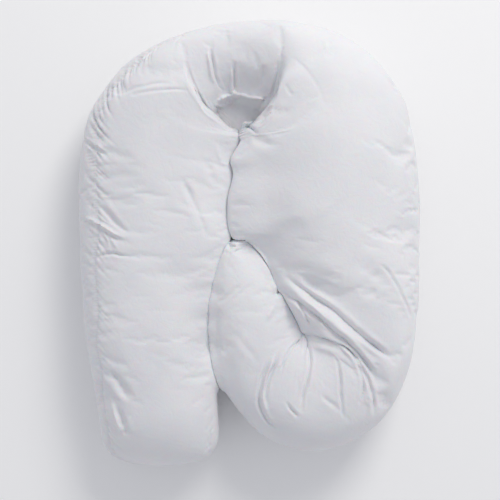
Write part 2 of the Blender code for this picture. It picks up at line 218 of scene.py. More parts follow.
# %% [markdown]
# ## One section
#
# Seen end on, a filled tube is a fat oval: full above its widest line, drawn in below it, and flat where it
# lies on the floor. A superellipse gives the fullness with one number. A pressed side is cut off flat, as
# two soft things are where they meet. The points are then spread evenly by length, from the outer seam over
# the top to the inner seam and back underneath. So column 0 of the grid is always one seam, and one fixed
# column further on the other. The upper side gets more of the points, because it is the side that is seen.

# %% Section shape
WAIST = 0.43  # height of a section's widest line, as a share of the section's height
FOOT = 0.58  # share of a section's width that lies flat on the floor
FULLNESS = 2.3  # superellipse power above the waist: 2 is an oval
FOOT_ROUND = 2.1  # the same for the side under the waist
END_ROUND = 0.062  # how far from the square end its plan outline starts to round off
END_CORNER = 2.9
END_SLOPE = 0.105  # how far from the square end its crown starts to come down
TIP_ROUND = 0.026
TIP_CORNER = 2.6
TIP_SLOPE = 0.009
PROFILE_POINTS = 90
PROFILE_CROWDING = 3  # how strongly those points crowd towards the widest line
CURL = math.pi / 3  # the angle under the widest line over which a side curls in to the floor
TOP_SHARE = 0.60  # share of a section's points that go to the side that the camera sees


def end_curve(distance, reach, power):
    """How much of a section is left at a distance from the tube's end."""
    share = np.clip(distance / reach, 1e-4, 1.0)
    return (1.0 - (1.0 - share) ** power) ** (1.0 / power)


def section_ring(half, height, plan, crown, settle, edge, steps):
    """One section's points, sideways and up, from the outer seam over the top to the inner seam and back."""
    rise = np.linspace(0, 1, PROFILE_POINTS) ** PROFILE_CROWDING * math.pi / 2
    angle = np.concatenate([math.pi + rise[:0:-1], math.pi - rise[:-1], rise[::-1], -rise[1:]])
    cosine = np.cos(angle)
    sine = np.sin(angle)
    # above the widest line: a superellipse, cut off softly where a side is pressed
    press = np.where(cosine < 0, edge["outer_press"], edge["inner_press"]) * MM
    free = (half + press) * np.abs(cosine) ** (2.0 / FULLNESS)
    limit = half + TOUCH
    pressed = free - PRESS_EDGE * np.log1p(np.exp((free - limit) / PRESS_EDGE))
    x = plan * np.sign(cosine) * np.where(press > 0, pressed, free)
    waist = WAIST * height
    over = waist + (height - waist) * crown * np.abs(sine) ** (2.0 / FULLNESS)
    # below it: a side that curls in, and then the flat foot
    under = np.arctan2(-sine, np.abs(cosine)) / CURL
    curve = np.clip(under, 0, 1) * math.pi / 2
    foot = np.sin(curve) ** (2.0 / FOOT_ROUND)
    inward = FOOT + (1 - FOOT) * np.cos(curve) ** (2.0 / FOOT_ROUND) - FOOT * np.clip((under - 1) * 2, 0, 1)
    x = np.where(sine < 0, plan * np.sign(cosine) * half * inward, x)
    z = np.where(sine >= 0, over, waist * (1.0 - foot * settle))
    # how far round the outline each seam lies, and the points spread evenly between the two
    run = np.concatenate([[0], np.cumsum(np.hypot(np.diff(x), np.diff(z)))])
    top = len(angle) // 2
    share = np.where(sine >= 0, WAIST + (1 - WAIST) * np.abs(sine) ** (2.0 / FULLNESS), WAIST * (1.0 - foot))
    outer = np.interp(edge["outer_seam"], share[:top], run[:top])
    inner = np.interp(edge["inner_seam"], share[:top:-1], run[:top:-1])
    over_steps = top_steps(steps)
    over_top = outer + (inner - outer) * np.arange(over_steps) / over_steps
    below = np.arange(steps - over_steps) / (steps - over_steps)
    underneath = (inner + (run[-1] - inner + outer) * below) % run[-1]
    where = np.concatenate([over_top, underneath])
    return np.interp(where, run, x), np.interp(where, run, z)


def top_steps(steps):
    """How many of a section's points lie over the top. The inner seam is the column with this number."""
    return round(TOP_SHARE * steps)


print("a section is", round(100 * FOOT), "% flat underneath")

# %% [markdown]
# ## The grid of the cover
#
# The sections are set along the tube at even distances, closer together at its two rounded ends. The grid
# is kept as one array, rings by steps by three, because every later move reads its neighbours: where the
# seam is, which way the cloth faces, how far it is from here to there. It is made twice, coarse for the
# simulation and fine for the cover itself.

# %% Lay out the tube
ROW_SAMPLES = 4000
OUTER_PART = 0.8  # rings step by the middle line, or by this share of the outer edge where that is longer
END_CROWDING = 1.6  # they draw together within this many times END_ROUND of either end
SEAM_WANDER = 0.05  # how far a seam strays up and down, as a share of the height
SEAM_WANDER_RUN = 0.07  # and over which length along the tube
SEAM_WANDER_START = {"outer_seam": 0.0, "inner_seam": 50.0}  # far apart in the noise, so that the two differ


def even_rows(count):
    """Row numbers that step evenly along the tube, and closer together at its two rounded ends."""
    at = np.linspace(0, len(SECTIONS) - 1, ROW_SAMPLES)
    table = through(SECTIONS, at)
    outer = np.linalg.norm(np.diff(table[:, 0:2], axis=0), axis=1)
    middle = np.linalg.norm(np.diff((table[:, 0:2] + table[:, 2:4]) / 2, axis=0), axis=1)
    run = np.concatenate([[0], np.cumsum(np.maximum(OUTER_PART * outer, middle))])
    reach = END_CROWDING * END_ROUND / MM
    share = np.linspace(0, run[-1], count)
    for end, sign in ((0.0, 1), (run[-1], -1)):
        near = np.clip(np.abs(share - end) / reach, 0, 1)
        share = np.where(near < 1, end + sign * reach * near**2 * (2 - near), share)
    return np.interp(share, run, at)


def noise_at(x, y=0.0, z=0.0):
    """A smooth noise between about -1 and 1, read at many places."""
    places = np.stack(np.broadcast_arrays(x, y, z), axis=-1)
    return np.array([noise.noise(Vector(place)) for place in places.tolist()])


def lay_tube(rings, steps):
    """The tube as a grid of points, and the edge table read at each of its rings."""
    at = even_rows(rings)
    table = through(SECTIONS, at)
    outer = table[:, 0:2] * MM
    inner = table[:, 2:4] * MM
    height = table[:, 4] * MM
    middle = (outer + inner) / 2
    half = np.linalg.norm(inner - outer, axis=1) / 2
    across = (inner - outer) / (2 * half[:, None])
    from_end = np.concatenate([[0], np.cumsum(np.linalg.norm(np.diff(middle, axis=0), axis=1))])
    from_tip = from_end[-1] - from_end
    plan = end_curve(from_end, END_ROUND, END_CORNER) * end_curve(from_tip, TIP_ROUND, TIP_CORNER)
    crown = end_curve(from_end, END_SLOPE, 2.0) * end_curve(from_tip, TIP_SLOPE, 2.0)
    settle = end_curve(from_end, END_ROUND, 2.0) * end_curve(from_tip, TIP_ROUND, 2.0)
    edge_rows = np.array(EDGES, float)
    edges = {name: np.interp(at, edge_rows[:, 0], column) for name, column in zip(Edge._fields, edge_rows.T)}
    for side, start in SEAM_WANDER_START.items():
        edges[side] = edges[side] + SEAM_WANDER * noise_at(start + from_end / SEAM_WANDER_RUN)
    points = np.empty((rings, steps, 3))
    for ring in range(rings):
        edge = {name: values[ring] for name, values in edges.items()}
        x, z = section_ring(half[ring], height[ring], plan[ring], crown[ring], settle[ring], edge, steps)
        points[ring, :, 0:2] = middle[ring] + x[:, None] * across[ring]
        points[ring, :, 2] = z
    return points, edges


def facing(points):
    """Outward unit normals of a grid."""
    along = np.gradient(points, axis=0)
    around = np.roll(points, -1, axis=1) - np.roll(points, 1, axis=1)
    normal = np.cross(around, along)
    return normal / np.maximum(np.linalg.norm(normal, axis=2, keepdims=True), 1e-12)


def run_along(line):
    """The length travelled along a row of points."""
    return np.concatenate([[0], np.cumsum(np.linalg.norm(np.diff(line, axis=0), axis=1))])


COARSE_RINGS = 440
COARSE_STEPS = 80
coarse, coarse_edges = lay_tube(COARSE_RINGS, COARSE_STEPS)
print("along the tube's outer seam it is", round(run_along(coarse[:, 0])[-1], 2), "m")

# %% [markdown]
# ## The hollow in the bend
#
# Inside the top bend the cloth doesn't close up. It slopes from the crown of the arch down to the corner
# where the two legs meet, like a little valley. It could be cut with a Boolean, but a cut would leave an
# edge, and cloth has none there. So the grid is lowered to a second surface, and a soft minimum rounds the
# place where they meet.

# %% Lower the cloth inside the top bend
HOLLOW_CORNER = (-17, 178)
Hollow = namedtuple("Hollow", "distance right left height left_height")
HOLLOW = (
    # how far from the corner, between which directions in degrees from +X, and how high the cloth lies there:
    # in the middle, and beside the straight leg
    Hollow(0, 70, 158, 64, 64),
    Hollow(12, 65, 156, 66, 62),
    Hollow(20, 42, 154, 68, 64),
    Hollow(30, 27, 151, 70, 71),
    Hollow(44, 28, 149, 73, 85),
    Hollow(53, 32, 148, 93, 108),
    Hollow(60, 36, 147, 99, 116),
    Hollow(72, 40, 144, 108, 128),
    Hollow(88, 47, 138, 124, 139),
    Hollow(105, 53, 134, 138, 149),
    Hollow(122, 58, 130, 149, 156),
    Hollow(140, 62, 127, 158, 162),
    Hollow(160, 66, 124, 167, 169),
    Hollow(185, 71, 121, 179, 179),
    Hollow(215, 76, 118, 198, 198),
)
BESIDE_FROM = 95  # from this direction on, the cloth goes over to its height beside the straight leg
HOLLOW_STEEP = 20  # slope of the sides where the legs drop into the hollow, by the corner
HOLLOW_GENTLE = 0.4  # and far from it, where the sides run out
SIDES_FADE = (85, 135)  # between these distances from the corner, in millimetres
HOLLOW_SOFT = (4.5, 11.0)  # how softly the cloth rounds into the hollow, in millimetres
SOFT_BETWEEN = (40, 110)  # at these distances from the corner
HOLLOW_END = 180  # this far from its corner the hollow starts to run out
RUN_OUT = 40  # over this distance
RUN_OUT_RISE = 100  # and by this much, which lifts it over the crown
UNDERSIDE = 0.03  # cloth lower than this isn't moved
FAR = 30  # where the two surfaces are this many times their softness apart, one of them alone counts


def open_hollow(points):
    """Lowers the cloth to the slope inside the top bend."""
    table = np.array(HOLLOW, float)
    away = (points[..., 0:2] - np.array(HOLLOW_CORNER) * MM) / MM
    distance = np.linalg.norm(away, axis=2)
    direction = np.degrees(np.arctan2(away[..., 1], away[..., 0]))
    right, left, middle, beside = (np.interp(distance, table[:, 0], column) for column in table.T[1:])
    slope = middle + (beside - middle) * smooth((direction - BESIDE_FROM) / (left - BESIDE_FROM))
    beyond = np.radians(np.maximum(np.maximum(right - direction, direction - left), 0)) * distance
    fading = np.clip((distance - SIDES_FADE[0]) / (SIDES_FADE[1] - SIDES_FADE[0]), 0, 1)
    steep = HOLLOW_STEEP * (HOLLOW_GENTLE / HOLLOW_STEEP) ** fading
    cap = slope + steep * beyond + RUN_OUT_RISE * smooth((distance - HOLLOW_END) / RUN_OUT)
    soft = np.interp(distance, SOFT_BETWEEN, HOLLOW_SOFT)
    over = (points[..., 2] / MM - cap) / soft
    lowered = points.copy()
    lowered[..., 2] -= MM * soft * np.log1p(np.exp(np.clip(over, -FAR, FAR))) * (points[..., 2] > UNDERSIDE)
    return lowered


coarse = open_hollow(coarse)
print("the corner of the hollow is", HOLLOW[0].height, "mm over the floor")

# %% [markdown]
# ## The folds and creases
#
# Each bend of the tube presses folds into the cloth. They could be sculpted, but a sculpture can't be read
# or changed by a number. Here every fold is a row: a path seen from above, how deep and wide it is, how
# sharp, and over which share of its run it dies out at either end. A depth below zero is a ridge. The
# distance to the path gives the shape: a soft bell where the cloth sinks, a cusp where it is pinched, and a
# slight swell beside it.

# %% The fold table
Fold = namedtuple("Fold", "name depth width sharp fade_in fade_out points")
SEEN_FROM_ABOVE = 0.967  # the paths are as they look from above, where the crown is nearer and looks larger
FOLDS = (
    # the top bend
    Fold("lobe crease", 6, 2.6, 0.8, 0.45, 0.2,
         ((-106, 298), (-98, 272), (-90, 248), (-80, 230), (-70, 214))),
    Fold("lobe lip", -1.2, 2.4, 0.2, 0.3, 0.3,
         ((-108, 268), (-98, 242), (-86, 224), (-74, 208), (-60, 196), (-40, 184))),
    Fold("bend crease across", 1.8, 2.4, 0.7, 0.3, 0.3,
         ((-205, 240), (-192, 246), (-168, 252), (-144, 256), (-124, 254))),
    Fold("bend crease below", 1.8, 2.4, 0.7, 0.3, 0.3,
         ((-200, 234), (-176, 240), (-144, 244), (-112, 244), (-96, 242))),
    Fold("bend shade across", 4, 14, 0.0, 0.4, 0.3, ((-190, 262), (-160, 270), (-128, 272), (-100, 266))),
    Fold("arch pleat left", 4.5, 2.4, 0.8, 0.4, 0.4,
         ((-63, 316), (-61, 300), (-58, 283), (-53, 262), (-50, 250))),
    Fold("arch pleat middle", 3.5, 2.2, 0.7, 0.4, 0.3, ((-25, 294), (-25, 270), (-24, 247))),
    Fold("arch pleat second hem", -2, 2.2, 0.3, 0.4, 0.4, ((-19, 290), (-19, 268), (-18, 252))),
    Fold("arch foot right", 5, 2.6, 0.7, 0.4, 0.2, ((43, 296), (42, 274), (39, 254), (34, 236))),
    Fold("arch pleat left hem", -4, 2.6, 0.3, 0.25, 0.3, ((-67, 305), (-65, 290), (-62, 270), (-58, 256))),
    Fold("arch pleat middle hem", -5.5, 2.4, 0.3, 0.3, 0.1,
         ((-30, 290), (-30, 266), (-30, 248), (-22, 246))),
    Fold("arch pleat far", 3, 5, 0.2, 0.3, 0.3, ((20, 288), (20, 268), (18, 250))),
    Fold("hollow seam", 4, 2.5, 0.6, 0.2, 0.2,
         ((-56, 226), (-42, 232), (-30, 237), (-14, 236), (2, 231), (16, 229), (28, 225))),
    Fold("hollow seam lip", -6, 2.6, 0.3, 0.15, 0.2,
         ((-56, 228), (-44, 236), (-30, 242), (-14, 242), (2, 237), (16, 235), (30, 230))),
    Fold("hem lip right", -3.5, 2.8, 0.2, 0.3, 0.5, ((-4, 240), (8, 237), (18, 235), (26, 233))),
    Fold("hem pucker first", 2.5, 1.8, 0.4, 0.3, 0.3, ((-52, 222), (-48, 238))),
    Fold("hem pucker second", 2.5, 1.8, 0.4, 0.3, 0.3, ((-43, 226), (-38, 242))),
    Fold("hem pucker third", 2.5, 1.8, 0.4, 0.3, 0.3, ((-35, 230), (-32, 246))),
    Fold("lobe corner bump", -3, 4, 0.2, 0.3, 0.3, ((34, 216), (26, 206), (20, 198))),
    Fold("lobe corner nick", 4, 2.2, 0.8, 0.2, 0.4, ((-6, 188), (4, 181), (13, 172))),
    Fold("lobe side wrinkle", 1.5, 2.5, 0.7, 0.3, 0.4, ((56, 252), (63, 240), (70, 232))),
    Fold("lobe pull", 2, 6, 0.1, 0.2, 0.6, ((34, 212), (52, 210), (74, 213))),
    Fold("corner pull right", 3, 6, 0.2, 0.2, 0.6, ((4, 166), (28, 156), (56, 152))),
    # the wide leg: the long folds that run from its inner edge into the hairpin
    Fold("long fold shade", 13, 16, 0.0, 0.4, 0.5,
         ((70, -30), (84, -52), (112, -74), (146, -100), (180, -128))),
    Fold("long fold upper", 10, 4, 0.7, 0.25, 0.15,
         ((53, -51), (80, -70), (104, -88), (128, -104), (152, -126), (176, -144), (200, -162),
          (229, -187))),
    Fold("long fold lower", 10, 4, 0.7, 0.12, 0.3,
         ((64, -84), (80, -97), (99, -110), (118, -126), (138, -142), (156, -157), (170, -173),
          (184, -191), (200, -216), (208, -246))),
    Fold("wide leg side crease", 3.5, 2.2, 0.9, 0.25, 0.4,
         ((200, -32), (220, -50), (238, -76), (252, -104), (262, -126))),
    Fold("long roll", -8, 10, 0.0, 0.3, 0.4,
         ((72, -80), (100, -102), (130, -127), (162, -152), (186, -172))),
    Fold("lower roll", -4, 5, 0.0, 0.3, 0.4, ((100, -128), (124, -148), (146, -166), (166, -186))),
    Fold("wide leg facet crease", 4.5, 2.2, 0.9, 0.2, 0.3, ((72, -94), (84, -108), (93, -124), (99, -136))),
    Fold("wide leg facet", -7, 8, 0.0, 0.3, 0.3, ((58, -86), (72, -104), (88, -122), (104, -138))),
    Fold("wide leg facet ridge", -5, 3.2, 0.3, 0.3, 0.3, ((80, -93), (96, -108), (112, -124), (124, -138))),
    Fold("wide leg lip", 6, 5, 0.4, 0.3, 0.4, ((19, -24), (37, -46), (51, -72), (67, -90), (83, -110))),
    Fold("wide leg soft fold", 5, 11, 0.0, 0.5, 0.5, ((163, -30), (190, -48), (216, -75))),
    Fold("wide leg second fold", 4, 9, 0.0, 0.5, 0.5, ((166, -62), (190, -78), (212, -98))),
    # the hairpin: the creases that fan out of its pinched corner
    Fold("top crease", 5.5, 2.6, 0.8, 0.05, 0.35,
         ((88, -146), (112, -151), (136, -159), (158, -172), (173, -188), (184, -213), (193, -243),
          (196, -283))),
    Fold("ball brow", -4, 6, 0.0, 0.2, 0.4, ((96, -164), (114, -167), (134, -175), (152, -190))),
    Fold("edge crease", 5, 2.4, 0.9, 0.2, 0.3,
         ((138, -152), (163, -179), (176, -206), (179, -235), (171, -264))),
    Fold("outer crease", 6, 3, 0.8, 0.3, 0.3, ((184, -200), (192, -227), (197, -251), (197, -283))),
    Fold("ball shade", 6, 11, 0.0, 0.3, 0.4, ((196, -190), (208, -220), (214, -250), (210, -284))),
    Fold("welt outside", 6, 3, 0.7, 0.25, 0.3,
         ((32, -182), (21, -211), (16, -243), (19, -267), (32, -291), (56, -306))),
    Fold("welt", -4, 4, 0.0, 0.2, 0.3, ((40, -177), (30, -203), (22, -232), (22, -254), (30, -280))),
    Fold("welt inside", 5, 2.6, 0.7, 0.3, 0.3,
         ((48, -171), (40, -195), (29, -219), (26, -243), (29, -264))),
    Fold("pleat to the welt", 5, 2.4, 0.7, 0.1, 0.4, ((80, -156), (66, -172), (54, -190), (50, -206))),
    Fold("pleat to the welt lip", -3, 2.4, 0.3, 0.1, 0.4, ((76, -162), (61, -179), (50, -195), (48, -207))),
    Fold("corner groove", 6, 2.4, 0.8, 0.1, 0.5, ((90, -149), (91, -163), (86, -181))),
    Fold("middle crease", 4.5, 2.4, 0.9, 0.1, 0.3,
         ((92, -160), (97, -188), (93, -219), (85, -243), (80, -264))),
    Fold("small low crease", 4, 2.4, 0.8, 0.3, 0.4, ((57, -252), (68, -267), (80, -280))),
    Fold("right crease", 4.5, 2.2, 0.9, 0.3, 0.3,
         ((136, -180), (142, -206), (144, -235), (146, -258), (150, -282))),
    Fold("low dent", 2, 3.5, 0.5, 0.4, 0.4, ((112, -243), (130, -256), (146, -270))),
    # the tail
    Fold("tail trough near", 2.5, 4, 0.2, 0.4, 0.4, ((-52, -99), (-53, -155), (-50, -211))),
    Fold("tail trough", 3, 9, 0.0, 0.4, 0.4, ((-36, -130), (-34, -190), (-26, -243))),
    Fold("tail pull", 1.5, 5, 0.2, 0.4, 0.4, ((-30, -140), (-8, -166), (18, -200))),
    Fold("tail ridge", -2.5, 4, 0.3, 0.4, 0.4, ((44, -96), (34, -110), (29, -128))),
    Fold("tip knot", 8, 3.6, 0.3, 0.3, 0.3, ((-32, 4), (-31, -5), (-33, -13))),
    Fold("tail notch", 9, 5, 0.3, 0.1, 0.6, ((46, -74), (40, -82), (31, -84))),
    # the straight leg: the pinch at its side, the slack at its end and the pulls towards the tip
    Fold("side crease high", 3.5, 1.9, 0.9, 0.2, 0.4, ((-272, 166), (-253, 153), (-232, 139))),
    Fold("side crease high lip", -2.5, 2.4, 0.3, 0.2, 0.4, ((-270, 172), (-251, 159), (-232, 145))),
    Fold("wide leg fall", 13, 42, 0.0, 0.35, 0.3,
         ((6, 196), (14, 150), (18, 80), (22, 30), (45, -10), (80, -45))),
    Fold("tail fall", 9, 26, 0.0, 0.3, 0.3, ((-60, -60), (-66, -110), (-64, -165), (-52, -225))),
    Fold("side pinch valley", 4, 5, 0.2, 0.3, 0.3, ((-246, 70), (-232, 50), (-216, 31), (-198, 14))),
    Fold("side pinch upper valley", 2.5, 3.4, 0.4, 0.3, 0.3,
         ((-236, 66), (-222, 44), (-206, 25), (-192, 14))),
    Fold("side pinch ridge", -6, 2.3, 0.7, 0.15, 0.3,
         ((-266, 42), (-250, 33), (-234, 25), (-218, 15), (-195, 6))),
    Fold("side pinch below", 3, 3, 0.4, 0.2, 0.4, ((-250, 26), (-232, 16), (-216, 8), (-200, 2))),
    Fold("side pinch left facet", -3, 2.4, 0.6, 0.1, 0.4, ((-236, 22), (-231, 6), (-226, -10))),
    Fold("side pinch right facet", -2.5, 2.4, 0.6, 0.1, 0.4, ((-230, 20), (-220, 2), (-211, -12))),
    Fold("side pinch lower", 4, 2.2, 0.9, 0.15, 0.5,
         ((-246, -22), (-235, -18), (-221, -17), (-200, -20), (-176, -24))),
    Fold("slit wrinkle near", -2.5, 4, 0.4, 0.4, 0.4, ((-54, 165), (-48, 139), (-38, 120))),
    Fold("slit wrinkle far", 2.5, 5, 0.3, 0.4, 0.4, ((-70, 138), (-62, 114), (-56, 92))),
    Fold("pull to the tip", 3.5, 5, 0.5, 0.3, 0.3,
         ((-110, 106), (-99, 85), (-88, 61), (-78, 37), (-68, 5))),
    Fold("end fold", 7, 7, 0.3, 0.3, 0.4, ((-228, -204), (-214, -220), (-203, -238), (-198, -256))),
    Fold("end slack", 6, 9, 0.1, 0.3, 0.4, ((-246, -226), (-238, -246), (-230, -270))),
    Fold("end ridge", -4, 4, 0.5, 0.2, 0.3, ((-228, -248), (-219, -278), (-209, -308))),
    Fold("end crease", 6, 5, 0.3, 0.3, 0.3, ((-214, -262), (-205, -290), (-198, -312))),
)
FACING_UP = 0.1  # cloth takes a fold where its facing points up by more than this
FACING_UP_RANGE = 0.4
WANDER = ((0.055, 0.0028), (0.018, 0.0009))  # how far a path strays: over which distance, and by how much
WANDER_SLICES = (7.3, 18.3)  # where in the noise the two directions are read
PATH_STEPS = 8  # straight pieces between two points of a path
FOLD_REACH = 5  # a fold is worked out this many widths around its path
UNEVEN = ((0.18, 9, 1.0), (0.12, 23, 2.1))  # two waves in a fold's depth: size, pace, and a shift by row
SWELL = 0.18  # how much the cloth swells beside a fold, as a share of its depth
SWELL_PLACE = 2.1  # how far from the path, and how wide, in widths of the fold
SWELL_WIDTH = 0.9
CUSP_ROUND = 0.03  # rounds the point of a cusp
CUSP_START = 0.17  # makes up for that rounding, so that a cusp starts at about its full depth
CUSP_FALL = 1.5  # how fast a cusp falls off


def stray(plan):
    """Moves plan points a little, unevenly, so that no fold runs as true as its path."""
    moved = plan.copy()
    for size, amount in WANDER:
        for axis, height in enumerate(WANDER_SLICES):
            moved[:, axis] += amount * noise_at(*(plan / size).T, height)
    return moved


def distance_to_path(plan, path, reach):
    """Distance of the plan points from a path, the share along it, and the rows that lie within reach."""
    rows = np.linspace(0, len(path) - 1, PATH_STEPS * (len(path) - 1) + 1)
    line = through(path, rows) * MM * SEEN_FROM_ABOVE
    inside = np.all((plan > line.min(axis=0) - reach) & (plan < line.max(axis=0) + reach), axis=1)
    near = plan[inside]
    away = np.full(len(near), np.inf)
    share = np.zeros(len(near))
    for number in range(len(line) - 1):
        start = line[number]
        step = line[number + 1] - start
        along = np.clip((near - start) @ step / (step @ step), 0, 1)
        distance = np.linalg.norm(near - start - along[:, None] * step, axis=1)
        closer = distance < away
        away[closer] = distance[closer]
        share[closer] = (number + along[closer]) / (len(line) - 1)
    return inside, away, share


def fold_shape(off, sharp):
    """The fold's depth across its path, from 1 in the middle: a bell, a cusp or something between."""
    bell = np.exp(-(off**2))
    cusp = np.exp(-(np.sqrt(off**2 + CUSP_ROUND) - CUSP_START) * CUSP_FALL)
    return (1 - sharp) * bell + sharp * cusp


def press_folds(points, deepness=1.0, wandering=True):
    """Pushes every fold down into the upper side of the cloth."""
    facing_up = smooth((facing(points)[..., 2] - FACING_UP) / FACING_UP_RANGE)
    plan = points[..., 0:2].reshape(-1, 2)
    if wandering:
        plan = stray(plan)
    push = np.zeros(len(plan))
    for number, fold in enumerate(FOLDS):
        width = fold.width * MM
        inside, away, share = distance_to_path(plan, fold.points, FOLD_REACH * width)
        fade = smooth(share / max(fold.fade_in, 1e-6)) * smooth((1 - share) / max(fold.fade_out, 1e-6))
        uneven = np.ones_like(share)
        for size, pace, shift in UNEVEN:
            uneven += size * np.sin(share * pace + shift * number)
        shape = fold_shape(away / width, fold.sharp)
        if fold.depth > 0:
            shape -= SWELL * np.exp(-(((away / width - SWELL_PLACE) / SWELL_WIDTH) ** 2))
        push[inside] += fold.depth * MM * fade * uneven * shape
    pressed = points.copy()
    pressed[..., 2] -= deepness * push.reshape(facing_up.shape) * facing_up
    return pressed


print("there are", len(FOLDS), "folds and creases")

# %% [markdown]
# ## Turning a grid into a cover
#
# A grid that goes all the way round only needs its two ends closed. Each end gets one more point and a fan
# of triangles. The faces are listed by a rule, so the same function serves the coarse cover and the fine
# one.

# %% Close a grid


def grid_faces(rings, steps):
    """The four-sided faces between neighbouring rings, which face outward."""
    ring = np.arange(rings - 1)[:, None] * steps
    step = np.arange(steps)[None, :]
    after = (step + 1) % steps
    quads = np.stack([ring + step, ring + after, ring + steps + after, ring + steps + step], axis=-1)
    return quads.reshape(-1, 4).tolist()


def sew_cover(name, points):
    """A closed mesh object from a grid of rings, with a fan of faces at each end."""
    rings, steps = points.shape[:2]
    corners = np.concatenate([points.reshape(-1, 3), [points[0].mean(axis=0), points[-1].mean(axis=0)]])
    faces = grid_faces(rings, steps)
    start_tip = rings * steps
    last_ring = (rings - 1) * steps
    for here in range(steps):
        there = (here + 1) % steps
        faces.append((start_tip, there, here))
        faces.append((start_tip + 1, last_ring + here, last_ring + there))
    mesh = bpy.data.meshes.new(name)
    mesh.from_pydata(corners.tolist(), [], faces)
    mesh.shade_smooth()
    cover = bpy.data.objects.new(name, mesh)
    bpy.context.scene.collection.objects.link(cover)
    return cover


def read_points(mesh):
    """The places of a mesh's points, as an array."""
    places = np.empty(len(mesh.vertices) * 3, np.float32)
    mesh.vertices.foreach_get("co", places)
    return places.reshape(-1, 3).astype(float)


COARSE_DEEPNESS = 0.7  # the simulation starts from folds that are a little shallower
coarse = press_folds(coarse, deepness=COARSE_DEEPNESS, wandering=False)
coarse[..., 2] = np.maximum(coarse[..., 2], 0.0)
print("the coarse grid has", coarse.shape[0] * coarse.shape[1], "points")

# %% [markdown]
# ## Slack cloth, held edges
#
# The wrinkles of a stuffed cover come from too much cloth for the shape it holds: the sewing draws the seam
# in, and the cloth beside it has to go somewhere. Blender's cloth simulation finds out where. Two vertex
# groups steer it. One holds the cloth: firmly on the floor, in the slits where legs press together and at
# the pinched corners, well at the seams, and hardly at all on the crown. The other gives it slack, most of
# all beside the gathered seams.

# %% Where the cover is held, and where it is slack
SEAM_HOLD = 0.9
SEAM_HOLD_WIDTH = 0.004
CROWN_HOLD = 0.05
CROWDED = 0.0008  # where rings lie this close together, as in a pinched corner, they are held fast
CROWDED_RANGE = 0.002
FLOOR_HOLD = 0.010  # and so is all cloth under this height
FLOOR_HOLD_RANGE = 0.040
WALL_SHARE = 0.88  # a wall is this far out to its section's side
WALL_SHARE_RANGE = 0.07
WALL_FACING = 0.9  # its facing points up or down by less than this
WALL_FACING_RANGE = 0.3
WALL_PRESS = 6  # and it is held fast where it is pressed by this many millimetres
SLACK_REACH = 0.035
WEIGHT_LEVELS = 24
FIRMLY = 0.8  # only for the line that is printed


def seam_distances(points):
    """Each point's distance from the outer and from the inner seam of its own section."""
    inner = top_steps(points.shape[1])
    to_outer = np.linalg.norm(points - points[:, :1], axis=2)
    to_inner = np.linalg.norm(points - points[:, inner : inner + 1], axis=2)
    return to_outer, to_inner


def seam_distance(points):
    """Each point's distance from its own section's nearer seam."""
    return np.minimum(*seam_distances(points))


def side_share(points):
    """How far out to its section's side each point lies: -1 at the outer side, 0 between, 1 at the inner."""
    inner = top_steps(points.shape[1])
    axis = points[:, inner, 0:2] - points[:, 0, 0:2]
    axis /= np.linalg.norm(axis, axis=1, keepdims=True)
    middle = (points[:, inner, 0:2] + points[:, 0, 0:2]) / 2
    sideways = ((points[..., 0:2] - middle[:, None]) * axis[:, None]).sum(axis=2)
    inner_side = np.maximum(sideways.max(axis=1, keepdims=True), 1e-9)
    outer_side = np.maximum(-sideways.min(axis=1, keepdims=True), 1e-9)
    return np.where(sideways > 0, sideways / inner_side, sideways / outer_side)


def wall_weight(points, edges):
    """1 where a side is pressed flat against the leg beside it."""
    share = side_share(points)
    press = np.where(share < 0, edges["outer_press"][:, None], edges["inner_press"][:, None])
    steep = smooth((WALL_FACING - np.abs(facing(points)[..., 2])) / WALL_FACING_RANGE)
    return smooth((np.abs(share) - WALL_SHARE) / WALL_SHARE_RANGE) * steep * smooth(press / WALL_PRESS)


def held_weight(points, edges):
    """How firmly each point is held, from 0 to 1."""
    spacing = np.linalg.norm(np.diff(points, axis=0, append=points[-1:]), axis=2)
    crowded = 1 - smooth((spacing - CROWDED) / CROWDED_RANGE)
    on_floor = 1 - smooth((points[..., 2] - FLOOR_HOLD) / FLOOR_HOLD_RANGE)
    seam = SEAM_HOLD * np.exp(-((seam_distance(points) / SEAM_HOLD_WIDTH) ** 2))
    crown = np.full_like(seam, CROWN_HOLD)
    return np.maximum.reduce([crowded, on_floor, seam, wall_weight(points, edges), crown])


def slack_weight(points, edges):
    """How much spare cloth each point has, from 0 to 1."""
    to_outer, to_inner = seam_distances(points)
    outer = np.exp(-((to_outer / SLACK_REACH) ** 2)) * edges["outer_loose"][:, None]
    inner = np.exp(-((to_inner / SLACK_REACH) ** 2)) * edges["inner_loose"][:, None]
    return np.maximum(outer, inner)


def paint_group(cover, name, weights, tips):
    """Writes weights into a vertex group, in levels, with one more value for each end point."""
    group = cover.vertex_groups.new(name=name)
    levels = np.round(np.append(weights.ravel(), [tips, tips]) * WEIGHT_LEVELS).astype(int)
    for level in range(1, WEIGHT_LEVELS + 1):
        members = np.nonzero(levels == level)[0]
        if len(members):
            group.add(members.tolist(), level / WEIGHT_LEVELS, "REPLACE")


held = held_weight(coarse, coarse_edges)
slack = slack_weight(coarse, coarse_edges)
print("held firmly:", round(100 * float((held > FIRMLY).mean())), "% of the cloth")

# %% [markdown]
# ## The simulation
#
# Air pressure inside stands for the filling, and gravity is off, because the shape already lies as it
# should. The bending stiffness sets the size of the wrinkles: low gives crumpled paper, high gives a smooth
# balloon. Sixteen short frames are enough for the cloth to buckle. What we keep is how far each point
# moved. The slow swell of the whole cushion is taken out of that, since the tube already has its real size,
# and so is most of the movement in a few places where the real cloth lies smooth. A soft limit stops any
# stray point. Only then is the movement carried over to the fine grid, where it becomes smooth folds.

